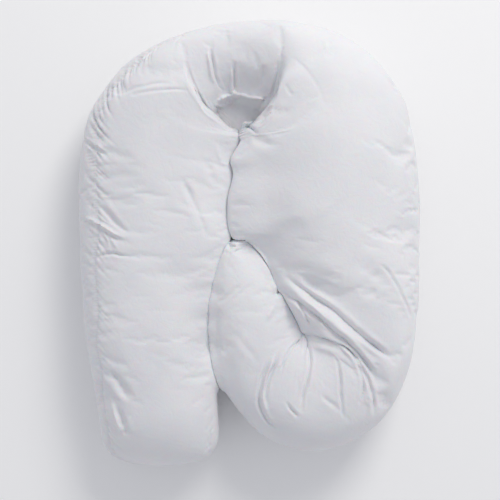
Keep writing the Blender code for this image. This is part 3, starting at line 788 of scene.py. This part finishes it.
# %% Let the cloth pucker
FRAMES = 16
SOLVER_STEPS = 5  # in each frame
POINT_MASS = 0.3
PRESSURE = 4.0
BENDING = 0.5
STRETCH = 15.0
SHEAR = 5.0
SLACK_EVERYWHERE = -0.015
SLACK_AT_SEAMS = -0.14
SWELL_SIZE = 0.050  # movements wider than this are the cushion's swell
SWELL_OUT = 0.85
MOST_MOVE = 0.014
TUBE_RUN = 2.4  # rough length along the outer seam, and round a section
TUBE_GIRTH = 0.62
Quiet = namedtuple("Quiet", "x y reach share")
QUIET = (
    # where the cloth lies smooth, in millimetres, and the share of the movement that is taken out there
    Quiet(-110, 165, 75, 0.8),
    Quiet(35, 110, 60, 0.7),
    Quiet(-10, -110, 60, 0.5),
    Quiet(45, 55, 60, 0.5),
    Quiet(-135, -85, 85, 0.8),
)


def blur(field, width, axis, closed):
    """A soft average of a grid's values along one axis; width is in grid steps."""
    reach = int(3 * width)
    weights = np.exp(-0.5 * (np.arange(-reach, reach + 1) / width) ** 2)
    weights /= weights.sum()
    padding = [(0, 0)] * field.ndim
    padding[axis] = (reach, reach)
    wide = np.pad(field, padding, mode="wrap" if closed else "edge")
    result = np.zeros_like(field)
    for shift, weight in enumerate(weights):
        part = [slice(None)] * field.ndim
        part[axis] = slice(shift, shift + field.shape[axis])
        result += weight * wide[tuple(part)]
    return result


def simulate(cover, frames):
    """Runs the cloth and gives back where its points end up."""
    modifier = cover.modifiers.new("pucker", "CLOTH")
    cloth = modifier.settings
    cloth.quality = SOLVER_STEPS
    cloth.mass = POINT_MASS
    cloth.tension_stiffness = STRETCH
    cloth.compression_stiffness = STRETCH
    cloth.shear_stiffness = SHEAR
    cloth.bending_stiffness = BENDING
    cloth.use_pressure = True
    cloth.uniform_pressure_force = PRESSURE
    cloth.vertex_group_mass = "held"
    cloth.vertex_group_shrink = "slack"
    cloth.shrink_min = SLACK_EVERYWHERE
    cloth.shrink_max = SLACK_AT_SEAMS
    cloth.effector_weights.gravity = 0.0
    modifier.collision_settings.use_collision = False
    for number in range(1, frames + 1):
        bpy.context.scene.frame_set(number)
    evaluated = cover.evaluated_get(bpy.context.evaluated_depsgraph_get())
    return read_points(evaluated.to_mesh())


def stillness(points, edges):
    """The share of its movement that each point loses: all where legs press, some of it in quiet places."""
    still = wall_weight(points, edges)
    for place in QUIET:
        away = np.linalg.norm(points[..., 0:2] - np.array([place.x, place.y]) * MM, axis=2)
        still = np.maximum(still, place.share * np.exp(-((away / (place.reach * MM)) ** 2)))
    return still


def pucker(points, edges, held, slack):
    """How far the cloth moves when it is slack and filled, without the swell of the whole cushion."""
    cover = sew_cover("cloth_to_settle", points)
    paint_group(cover, "held", held, 1)
    paint_group(cover, "slack", slack, 0)
    before = read_points(cover.data)
    move = (simulate(cover, FRAMES) - before)[:-2].reshape(points.shape)
    bpy.data.objects.remove(cover, do_unlink=True)
    bpy.context.scene.frame_set(1)
    rings, steps = points.shape[:2]
    swell = blur(move, SWELL_SIZE * rings / TUBE_RUN, 0, False)
    swell = blur(swell, SWELL_SIZE * steps / TUBE_GIRTH, 1, True)
    move = (move - SWELL_OUT * swell) * (1 - stillness(points, edges))[..., None]
    size = np.linalg.norm(move, axis=2, keepdims=True)
    return move * MOST_MOVE * np.tanh(size / MOST_MOVE) / np.maximum(size, 1e-9)


puckers = pucker(coarse, coarse_edges, held, slack)
print("the cloth moved up to", round(float(np.linalg.norm(puckers, axis=2).max()) / MM, 1), "mm")

# %% [markdown]
# ## The fine grid
#
# The camera sees details of one or two millimetres, so the cover itself has far more points than the
# simulation. The tube is laid out again, finer, and takes up the movement by the same smooth curve that ran
# through the section table: once along the tube, and once round it.

# %% Lay out the fine cover and carry the puckers over
FINE_RINGS = 1300
FINE_STEPS = 200


def refine(field, count, axis, closed):
    """Reads a grid's values at more places along one axis, through a smooth curve."""
    field = np.moveaxis(field, axis, 0)
    size = len(field)
    flat = field.reshape(size, -1)
    if closed:
        flat = np.concatenate([flat[-2:], flat, flat[:3]])
        at = np.arange(count) / count * size + 2
    else:
        at = np.arange(count) / (count - 1) * (size - 1)
    return np.moveaxis(through(flat, at).reshape((count,) + field.shape[1:]), 0, axis)


fine, fine_edges = lay_tube(FINE_RINGS, FINE_STEPS)
fine = open_hollow(fine)
fine = press_folds(fine)
fine = fine + refine(refine(puckers, FINE_RINGS, 0, False), FINE_STEPS, 1, True)
print("the fine grid has", FINE_RINGS * FINE_STEPS, "points")

# %% [markdown]
# ## Gathers and the seam
#
# The simulation puckers the cloth at the scale of a finger. The gathers that the sewing leaves are finer:
# about one in every centimetre, no two alike. They are small troughs that start at the seam and run out at
# a slant, and they are placed one after the other with a seeded random spacing, so that every run of the
# file gives the same pillow. The seam itself is a narrow groove, since the panels are turned in there.

# %% Bunch the cloth at its seams
GATHER_SEED = 7
GATHER_PITCH = 0.0105
GATHER_DEPTH = 0.0030
GATHER_WIDTH = 0.0026
GATHER_REACH = 0.018
PITCHES = (0.55, 1.6)  # between which shares of these sizes each gather's own are drawn
DEPTHS = (0.25, 1.0)
WIDTHS = (0.8, 1.5)
REACHES = (0.5, 1.5)
GATHER_SLANT = 0.9  # how far a gather drifts along the seam as it runs out from it
GATHER_START = 0.002  # it has some of its depth on the seam, and all of it a little way off
GATHER_START_RANGE = 0.006
SEAM_DEPTH = 0.0016
SEAM_WIDTH = 0.0036
OPEN_OUT = 0.2  # no gathers where rings lie closer together than this share of their usual spacing
OPEN_OUT_RANGE = 0.5
FLOOR_CLEAR = 0.012  # cloth on the floor isn't pushed, and cloth above this height is pushed in full


def above_floor(points):
    """0 where the cloth lies on the floor, 1 where it is well clear of it."""
    return smooth(points[..., 2] / FLOOR_CLEAR)


def gather_rows(length, chance):
    """Place, depth, width and reach of each gather along a seam."""
    rows = []
    at = 0.0
    while at < length:
        at += GATHER_PITCH * chance.uniform(*PITCHES)
        depth = chance.uniform(*DEPTHS)
        width = GATHER_WIDTH * chance.uniform(*WIDTHS)
        reach = GATHER_REACH * chance.uniform(*REACHES)
        rows.append((at, depth, width, reach))
    return np.array(rows)


def gather_field(run, away, over, rows):
    """How deep the gathers are at each point; away is its distance from the seam, and over is 1 above it."""
    place = run + GATHER_SLANT * away * over
    depth = np.zeros_like(place)
    nearest = np.searchsorted(rows[:, 0], place)
    for shift in (-2, -1, 0, 1):
        index = np.clip(nearest + shift, 0, len(rows) - 1)
        at, deep, width, reach = (rows[index, column] for column in range(4))
        bell = deep * np.exp(-(((place - at) / width) ** 2)) * np.exp(-((away / reach) ** 2))
        depth = np.maximum(depth, bell)
    return depth


def gather_seams(points, edges):
    """Draws both seams in, and bunches the cloth beside them."""
    chance = np.random.default_rng(GATHER_SEED)
    inner = top_steps(points.shape[1])
    normals = facing(points)
    over = np.where(np.arange(points.shape[1]) <= inner, 1, -1)
    push = np.zeros(points.shape[:2])
    for column, strength in ((0, edges["outer_gather"]), (inner, edges["inner_gather"])):
        seam = points[:, column]
        run = run_along(seam)
        spacing = np.gradient(run) / np.median(np.gradient(run))
        open_out = smooth((spacing - OPEN_OUT) / OPEN_OUT_RANGE)
        away = np.linalg.norm(points - seam[:, None, :], axis=2)
        depth = gather_field(run[:, None], away, over, gather_rows(run[-1], chance))
        start = smooth((away + GATHER_START) / GATHER_START_RANGE)
        push += GATHER_DEPTH * depth * (strength * open_out)[:, None] * start
        push += SEAM_DEPTH * open_out[:, None] * np.exp(-((away / SEAM_WIDTH) ** 2))
    return points - normals * (push * above_floor(points))[..., None]


fine = gather_seams(fine, fine_edges)
seam_lengths = [run_along(fine[:, column])[-1] for column in (0, top_steps(FINE_STEPS))]
print("the seams are", round(sum(seam_lengths), 2), "m long")

# %% [markdown]
# ## Small slack wrinkles
#
# Between the big folds the cotton is never quite smooth. Soft fibre filling is lumpy, and washed cotton
# keeps shallow wrinkles about a centimetre wide. Both are added as noise along the cloth's own facing: wide
# and low for the filling, narrow and lower still for the wrinkles, which are stronger beside the seams than
# on the crown.

# %% Lumps of filling and shallow wrinkles
LUMP_SIZE = 0.060
LUMP_HEIGHT = 0.0016
WRINKLE_SIZE = 0.014
WRINKLE_HEIGHT = 0.0007
WRINKLE_BEND_SIZE = 2.2  # a second noise, this many times wider, bends the first
WRINKLE_BEND = (2.0, -1.5, 1.0)  # by so much along each axis
WRINKLE_TOP = 0.35
CROWN_WRINKLES = 0.35  # what is left of the wrinkles far from a seam
WRINKLE_REACH = 0.05


def lumps_and_wrinkles(points):
    """How far the filling and the small wrinkles lift each point."""
    flat = points.reshape(-1, 3)
    lumps = noise_at(*(flat / LUMP_SIZE).T)
    folded = noise_at(*(flat / (WRINKLE_SIZE * WRINKLE_BEND_SIZE)).T)
    bent = flat / WRINKLE_SIZE + folded[:, None] * np.array(WRINKLE_BEND)
    ridges = WRINKLE_TOP - np.abs(noise_at(*bent.T))
    lift = LUMP_HEIGHT * lumps.reshape(points.shape[:2])
    near_seam = np.exp(-((seam_distance(points) / WRINKLE_REACH) ** 2))
    strength = CROWN_WRINKLES + (1 - CROWN_WRINKLES) * near_seam
    return lift + WRINKLE_HEIGHT * ridges.reshape(points.shape[:2]) * strength


fine = fine + facing(fine) * (lumps_and_wrinkles(fine) * above_floor(fine))[..., None]
fine[..., 2] = np.maximum(fine[..., 2], 0.0)
print("the cloth is", round(float(fine[..., 2].max()) / MM), "mm high at its crown")

# %% [markdown]
# ## Legs that touch
#
# In the solid the legs stand a few millimetres apart, because touching solids can't be told from joined
# ones. Real legs lean on each other, and the line between them is a thin soft shadow. So each point of a
# steep side looks straight out for the side that it faces, and where one is near it moves half of the way
# there. A weighted blur carries that movement a little way over the shoulder, so that the crown follows.
# Three rounds close the gap. Low in the slits the sides end up a few millimetres inside each other, out of
# sight. The hollow's own sides stay apart.

# %% Let facing sides meet
MOST_GAP = 0.013  # sides further apart than this stay as they are
NEAR_GAP = 0.008  # sides nearer than this meet
CLEARANCE = 0.0003
MEETING_SHARE = 0.8  # a point takes part this far out to its section's side
MEETING_FACING = 0.75  # where its facing points up or down by less than this
MEETING_LOW = 0.01  # above this height
MEETING_PRESS = 3  # and where its side is pressed by more than this many millimetres
SQUARELY = 0.7  # how squarely two sides have to face each other
PINCHED = 0.0007  # where rings lie closer than this, as in a pinched corner, less is asked
PINCHED_SQUARELY = 0.3
LEAST_FOUND = 0.35  # where fewer points than this share have found a side, the movement fades out
CARRY_RINGS = 2.5  # how far the movement is carried over the shoulder, in grid steps
CARRY_STEPS = 3.0
MEETING_ROUNDS = 3


def meet(points, edges):
    """How far each pressed point moves towards the side that it faces."""
    normals = facing(blur(blur(points, CARRY_RINGS, 0, False), CARRY_STEPS / 2, 1, True))
    spacing = np.linalg.norm(np.diff(points, axis=0, append=points[-1:]), axis=2)
    squarely = np.where(spacing < PINCHED, PINCHED_SQUARELY, SQUARELY)
    level = normals * np.array([1, 1, 0])
    level /= np.maximum(np.linalg.norm(level, axis=2, keepdims=True), 1e-9)
    share = side_share(points)
    press = np.where(share < 0, edges["outer_press"][:, None], edges["inner_press"][:, None])
    meeting = (np.abs(normals[..., 2]) < MEETING_FACING) & (np.abs(share) > MEETING_SHARE)
    meeting &= (points[..., 2] > MEETING_LOW) & (press > MEETING_PRESS)
    meeting &= points[..., 1] < HOLLOW_CORNER[1] * MM
    tree = BVHTree.FromPolygons(points.reshape(-1, 3).tolist(), grid_faces(*points.shape[:2]))
    move = np.zeros_like(points)
    found = np.zeros(points.shape[:2])
    for ring, step in np.argwhere(meeting):
        way = Vector(level[ring, step])
        place, normal, _, gap = tree.ray_cast(Vector(points[ring, step]) + CLEARANCE * way, way, MOST_GAP)
        if place is not None and -normal.dot(way) > squarely[ring, step]:
            fade = 1 - smooth((gap - NEAR_GAP) / (MOST_GAP - NEAR_GAP))
            move[ring, step] = level[ring, step] * fade * max(gap - CLEARANCE, 0) / 2
            found[ring, step] = 1
    move = blur(blur(move, CARRY_RINGS, 0, False), CARRY_STEPS, 1, True)
    found = blur(blur(found, CARRY_RINGS, 0, False), CARRY_STEPS, 1, True)
    return move / np.maximum(found, LEAST_FOUND)[..., None]


for _ in range(MEETING_ROUNDS):
    closing = meet(fine, fine_edges)
    fine = fine + closing
print("in the last round the sides still moved", round(float(np.abs(closing).max()) / MM, 1), "mm")

# %% [markdown]
# ## The finished cover
#
# The grid is moved so that the tube's own middle is the frame's origin, as in the solid. It is then
# thinned: the Decimate modifier takes points out of flat stretches and keeps them in the creases, which is
# just where they are needed. Two attributes go with the mesh for the finish: how far a point is from its
# seam, and how far along the tube it lies.

# %% Sew the cover and thin it
TRIANGLES = 190000


def tube_middle():
    """The middle of the solid's outline, in the section table's own coordinates."""
    plain, _ = lay_tube(FINE_RINGS, FINE_STEPS)
    low = plain.min(axis=(0, 1))
    high = plain.max(axis=(0, 1))
    return (low + high) / 2


def write_attribute(mesh, name, values):
    """A value for each point; the two end points take the mean of their rings."""
    ends = [values[0].mean(), values[-1].mean()]
    attribute = mesh.attributes.new(name, "FLOAT", "POINT")
    attribute.data.foreach_set("value", np.append(values.ravel(), ends).astype(np.float32))


def thin(cover, triangles):
    """Replaces the mesh by one with no more triangles than given."""
    modifier = cover.modifiers.new("thin", "DECIMATE")
    # a closed grid has about two triangles for each point
    modifier.ratio = triangles / (2 * len(cover.data.vertices))
    evaluated = cover.evaluated_get(bpy.context.evaluated_depsgraph_get())
    thinned = bpy.data.meshes.new_from_object(evaluated)
    cover.modifiers.clear()
    old = cover.data
    cover.data = thinned
    bpy.data.meshes.remove(old)
    thinned.name = cover.name
    thinned.shade_smooth()


middle = tube_middle()
fine[..., 0:2] -= middle[0:2]
pillow_cover = sew_cover("pillow_cover", fine)
write_attribute(pillow_cover.data, "seam_away", seam_distance(fine))
seam_run = np.broadcast_to(run_along(fine[:, 0])[:, None], fine.shape[:2])
write_attribute(pillow_cover.data, "seam_run", seam_run)
thin(pillow_cover, TRIANGLES)
print("the cover has", len(pillow_cover.data.polygons), "faces")

# %% [markdown]
# ## Shader groups for the cotton
#
# Two effects make the finish, and each is a node group with named inputs, so that it could serve another
# cloth too. The weave is two crossing sets of threads, each a wave that wanders a little. It is laid on
# from three sides and blended by the facing, since the cover has no flat pattern to unroll. The creasing is
# a noise bent by another noise, for the faint lines that are too small for the mesh. Every node is made by
# one helper, which also links it to the nodes before it.

# %% Node group helpers


def new_group(name, inputs, output):
    """An empty shader node group with its sockets, and the nodes that stand for its two sides."""
    group = bpy.data.node_groups.new(name, "ShaderNodeTree")
    for label, kind, value in inputs:
        socket = group.interface.new_socket(label, in_out="INPUT", socket_type=kind)
        if value is not None:
            socket.default_value = value
    group.interface.new_socket(output, in_out="OUTPUT", socket_type=FLOAT)
    return group, group.nodes.new("NodeGroupInput").outputs, group.nodes.new("NodeGroupOutput").inputs


def add_node(tree, kind, inputs=None, **settings):
    """A node with its properties and its inputs set; an input is a number, a colour or an output to link."""
    node = tree.nodes.new(kind)
    for name, value in settings.items():
        setattr(node, name, value)
    for label, value in (inputs or {}).items():
        if isinstance(value, bpy.types.NodeSocket):
            tree.links.new(value, node.inputs[label])
        else:
            node.inputs[label].default_value = value
    return node


def math_node(tree, operation, *values):
    """The output of a math node; each value is a number or an output to link."""
    return add_node(tree, "ShaderNodeMath", dict(enumerate(values)), operation=operation).outputs[0]


def vector_math(tree, operation, inputs):
    """The output of a vector math node."""
    return add_node(tree, "ShaderNodeVectorMath", inputs, operation=operation).outputs[0]


def split(tree, vector):
    """The three parts of a vector, as outputs."""
    return add_node(tree, "ShaderNodeSeparateXYZ", {0: vector}).outputs


FLOAT = "NodeSocketFloat"
VECTOR = "NodeSocketVector"
print("the helpers for node groups are ready")

# %% [markdown]
# ### The weave
#
# A plain weave is warp over weft, then weft over warp, which gives small bumps in rows, one for each
# crossing. Two sine waves at right angles give the rows, and the size of their product is the height: high
# at each crossing, and low between, which is what catches the light. A noise shifts the waves a little,
# since no yarn runs true.

# %% Plain weave group
THREAD = 0.0006  # from one thread to the next
YARN_UNEVEN = 260.0  # scale of the noise that shifts the threads


def weave_group():
    """Height of a plain weave, 0 to 1, from a position in metres and the thread pitch."""
    vectors = [("Position", VECTOR, None), ("Normal", VECTOR, None)]
    numbers = [("Pitch", FLOAT, THREAD), ("Slub", FLOAT, 0.3)]
    group, given, result = new_group("plain_weave", vectors + numbers, "Height")
    noise_inputs = {"Vector": given["Position"], "Scale": YARN_UNEVEN, "Detail": 1.0}
    uneven = add_node(group, "ShaderNodeTexNoise", noise_inputs).outputs[0]
    turns = math_node(group, "DIVIDE", math.pi, given["Pitch"])
    phases = split(group, vector_math(group, "SCALE", {0: given["Position"], "Scale": turns}))
    slub = math_node(group, "MULTIPLY", math_node(group, "SUBTRACT", uneven, 0.5), given["Slub"])
    waves = [math_node(group, "SINE", math_node(group, "ADD", phases[axis], slub)) for axis in range(3)]
    toward = split(group, vector_math(group, "ABSOLUTE", {0: given["Normal"]}))
    total = None
    for axis, (first, second) in enumerate(((1, 2), (0, 2), (0, 1))):
        crossing = math_node(group, "ABSOLUTE", math_node(group, "MULTIPLY", waves[first], waves[second]))
        share = math_node(group, "MULTIPLY", crossing, math_node(group, "POWER", toward[axis], 2.0))
        total = share if total is None else math_node(group, "ADD", total, share)
    group.links.new(total, result["Height"])
    return group


plain_weave = weave_group()
print("the weave group has", len(plain_weave.nodes), "nodes")

# %% [markdown]
# ### The creasing
#
# Washed cotton is covered in faint creases that run a few centimetres and change direction. A noise that is
# first bent by another noise gives lines instead of dots, and a ridge is where it passes through its middle
# value.

# %% Fine crease group
BEND_SCALE = 28.0  # scale of the noise that bends the creases
BEND_REACH = 0.05  # how far it shifts them at most, in metres
RIDGE_NARROW = 5.0  # how narrow a ridge is


def crease_group():
    """Height of fine creases, 0 to 1, from a position in metres and the size of a crease."""
    inputs = [("Position", VECTOR, None), ("Size", FLOAT, 0.02), ("Bend", FLOAT, 0.6)]
    group, given, result = new_group("fine_creases", inputs, "Height")
    bend_inputs = {"Vector": given["Position"], "Scale": BEND_SCALE, "Detail": 1.0}
    bend = add_node(group, "ShaderNodeTexNoise", bend_inputs).outputs["Color"]
    reach = math_node(group, "MULTIPLY", given["Bend"], BEND_REACH)
    shift = vector_math(group, "SCALE", {0: bend, "Scale": reach})
    moved = vector_math(group, "ADD", {0: given["Position"], 1: shift})
    scale = math_node(group, "DIVIDE", 1.0, given["Size"])
    line_inputs = {"Vector": moved, "Scale": scale, "Detail": 3.0, "Roughness": 0.55}
    lines = add_node(group, "ShaderNodeTexNoise", line_inputs).outputs[0]
    centred = math_node(group, "ABSOLUTE", math_node(group, "SUBTRACT", lines, 0.5))
    ridge = math_node(group, "SUBTRACT", 1.0, math_node(group, "MULTIPLY", centred, RIDGE_NARROW))
    group.links.new(math_node(group, "MAXIMUM", ridge, 0.0), result["Height"])
    return group


fine_creases = crease_group()
print("the crease group has", len(fine_creases.nodes), "nodes")

# %% [markdown]
# ## White cotton
#
# White cloth isn't white all over. Matt fibre with a little fuzz gives a soft sheen at grazing angles, thin
# cloth over filling shows faint greyer places, and the seam is painted a little darker, for its dust and for
# the shade in its groove. The colour stays high, and everything else is a small change around it. The weave,
# the faint creases and the ripple right beside the seam are bump, and the rest is shape.

# %% Cotton material
COTTON = (0.800, 0.800, 0.820, 1.0)
COTTON_SHADE = (0.755, 0.757, 0.785, 1.0)
# painted shade and dust: the seam is coloured darker, for the shade in its groove and for its dust
SEAM_DUST_AND_SHADE = (0.740, 0.740, 0.765, 1.0)
COTTON_FINISH = {
    "Sheen Weight": 0.25,
    "Sheen Roughness": 0.5,
    "Specular IOR Level": 0.3,
    "Subsurface Weight": 0.25,
    "Subsurface Scale": 0.006,
}
SEAM_DUST_AND_SHADE_REACH = 0.005  # how far from a seam its shade has faded out
RIPPLE_LENGTH = 0.0042  # one ripple for each stitch
RIPPLE_REACH = 0.010


def map_range(tree, value, given, wanted):
    """The output of a node that turns one range of values into another."""
    numbers = {1: given[0], 2: given[1], 3: wanted[0], 4: wanted[1]}
    return add_node(tree, "ShaderNodeMapRange", {0: value, **numbers}).outputs[0]


def add_bump(tree, height, strength, distance, under=None):
    """A bump of this height, laid over another one."""
    node = add_node(tree, "ShaderNodeBump", {"Height": height, "Strength": strength, "Distance": distance})
    if under is not None:
        tree.links.new(under, node.inputs["Normal"])
    return node.outputs[0]


def cotton_white():
    """Plain white woven cotton, a little creased."""
    material = bpy.data.materials.new("white_cotton")
    material.use_nodes = True
    tree = material.node_tree
    shader = tree.nodes["Principled BSDF"].inputs
    for label, value in COTTON_FINISH.items():
        shader[label].default_value = value
    place = add_node(tree, "ShaderNodeTexCoord").outputs["Object"]
    normal = add_node(tree, "ShaderNodeNewGeometry").outputs["Normal"]
    away = add_node(tree, "ShaderNodeAttribute", attribute_name="seam_away").outputs["Fac"]
    run = add_node(tree, "ShaderNodeAttribute", attribute_name="seam_run").outputs["Fac"]

    weave_inputs = {"Position": place, "Normal": normal, "Pitch": THREAD, "Slub": 0.6}
    weave = add_node(tree, "ShaderNodeGroup", weave_inputs, node_tree=plain_weave).outputs["Height"]
    crease_inputs = {"Position": place, "Size": 0.016, "Bend": 0.7}
    creases = add_node(tree, "ShaderNodeGroup", crease_inputs, node_tree=fine_creases).outputs["Height"]

    patch_inputs = {"Vector": place, "Scale": 9.0, "Detail": 3.0, "Roughness": 0.6}
    patches = add_node(tree, "ShaderNodeTexNoise", patch_inputs).outputs[0]
    tone = map_range(tree, patches, (0.35, 0.70), (0.0, 1.0))
    cloth = add_node(tree, "ShaderNodeMix", data_type="RGBA", inputs={0: tone, 6: COTTON, 7: COTTON_SHADE})
    # painted shade and dust beside the seam: the colour darkens within a few millimetres of it
    seam_dust_and_shade = map_range(tree, away, (0.0, SEAM_DUST_AND_SHADE_REACH), (0.7, 0.0))
    colour_inputs = {0: seam_dust_and_shade, 6: cloth.outputs[2], 7: SEAM_DUST_AND_SHADE}
    colour = add_node(tree, "ShaderNodeMix", data_type="RGBA", inputs=colour_inputs)
    tree.links.new(colour.outputs[2], shader["Base Color"])
    tree.links.new(map_range(tree, weave, (0.0, 1.0), (0.80, 0.92)), shader["Roughness"])

    ripple = math_node(tree, "SINE", math_node(tree, "MULTIPLY", run, 2 * math.pi / RIPPLE_LENGTH))
    beside = map_range(tree, away, (0.0, RIPPLE_REACH), (1.0, 0.0))
    ripple = math_node(tree, "MULTIPLY", ripple, beside)
    surface = add_bump(tree, creases, 0.35, 0.0006)
    surface = add_bump(tree, ripple, 0.15, 0.0005, surface)
    surface = add_bump(tree, weave, 0.4, 0.0001, surface)
    tree.links.new(surface, shader["Normal"])
    return material


cotton = cotton_white()
pillow_cover.data.materials.clear()
pillow_cover.data.materials.append(cotton)
print("the cotton has", len(cotton.node_tree.nodes), "nodes")

# %% [markdown]
# ## The studio
#
# The photograph is a bright, plain product picture: a white surface, light from all round, and a broad soft
# lamp at the upper right that gives each fold its light and dark side. A world colour gives the light from
# all round, one large area lamp gives the direction, and the floor is a plain pale sheet, not part of the
# pillow.

# %% Floor, world and lamp
FLOOR_SIZE = 12.0
FLOOR_DROP = 0.0003  # the floor lies this little under the cloth
FLOOR_COLOUR = (0.93, 0.93, 0.93, 1.0)
FLOOR_ROUGHNESS = 0.9
FLOOR_GLOSS = 0.1
WORLD_COLOUR = (0.935, 0.945, 1.0, 1.0)
WORLD_STRENGTH = 0.62
KEY_PLACE = (1.30, 2.60, 2.60)
KEY_SIZE = 1.5
KEY_POWER = 67.0
KEY_COLOUR = (1.0, 0.98, 0.93)


def add_floor():
    """A plain pale surface under the pillow."""
    half = FLOOR_SIZE / 2
    corners = [(-half, -half, 0), (half, -half, 0), (half, half, 0), (-half, half, 0)]
    mesh = bpy.data.meshes.new("floor")
    mesh.from_pydata(corners, [], [(0, 1, 2, 3)])
    floor = bpy.data.objects.new("floor", mesh)
    floor.location.z = -FLOOR_DROP
    bpy.context.scene.collection.objects.link(floor)
    material = bpy.data.materials.new("pale_floor")
    material.use_nodes = True
    shader = material.node_tree.nodes["Principled BSDF"]
    shader.inputs["Base Color"].default_value = FLOOR_COLOUR
    shader.inputs["Roughness"].default_value = FLOOR_ROUGHNESS
    shader.inputs["Specular IOR Level"].default_value = FLOOR_GLOSS
    mesh.materials.append(material)


def add_lamp(name, place, size, power, colour):
    """A square area lamp that points at the pillow."""
    data = bpy.data.lights.new(name, "AREA")
    data.size = size
    data.energy = power
    data.color = colour
    lamp = bpy.data.objects.new(name, data)
    lamp.location = place
    lamp.rotation_euler = (Vector((0, 0, MIDDLE_HEIGHT)) - Vector(place)).to_track_quat("-Z", "Y").to_euler()
    bpy.context.scene.collection.objects.link(lamp)


def set_world():
    """Even light from all round."""
    world = bpy.data.worlds.new("soft_room")
    world.use_nodes = True
    background = world.node_tree.nodes["Background"]
    background.inputs["Color"].default_value = WORLD_COLOUR
    background.inputs["Strength"].default_value = WORLD_STRENGTH
    bpy.context.scene.world = world


add_floor()
set_world()
add_lamp("key", KEY_PLACE, KEY_SIZE, KEY_POWER, KEY_COLOUR)
bpy.context.scene.view_settings.view_transform = "Standard"
print("the key lamp is", KEY_SIZE, "m across")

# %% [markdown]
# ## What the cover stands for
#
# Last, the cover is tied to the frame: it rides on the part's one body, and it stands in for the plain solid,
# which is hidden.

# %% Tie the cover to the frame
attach(pillow_cover, "root")
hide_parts("pillow")
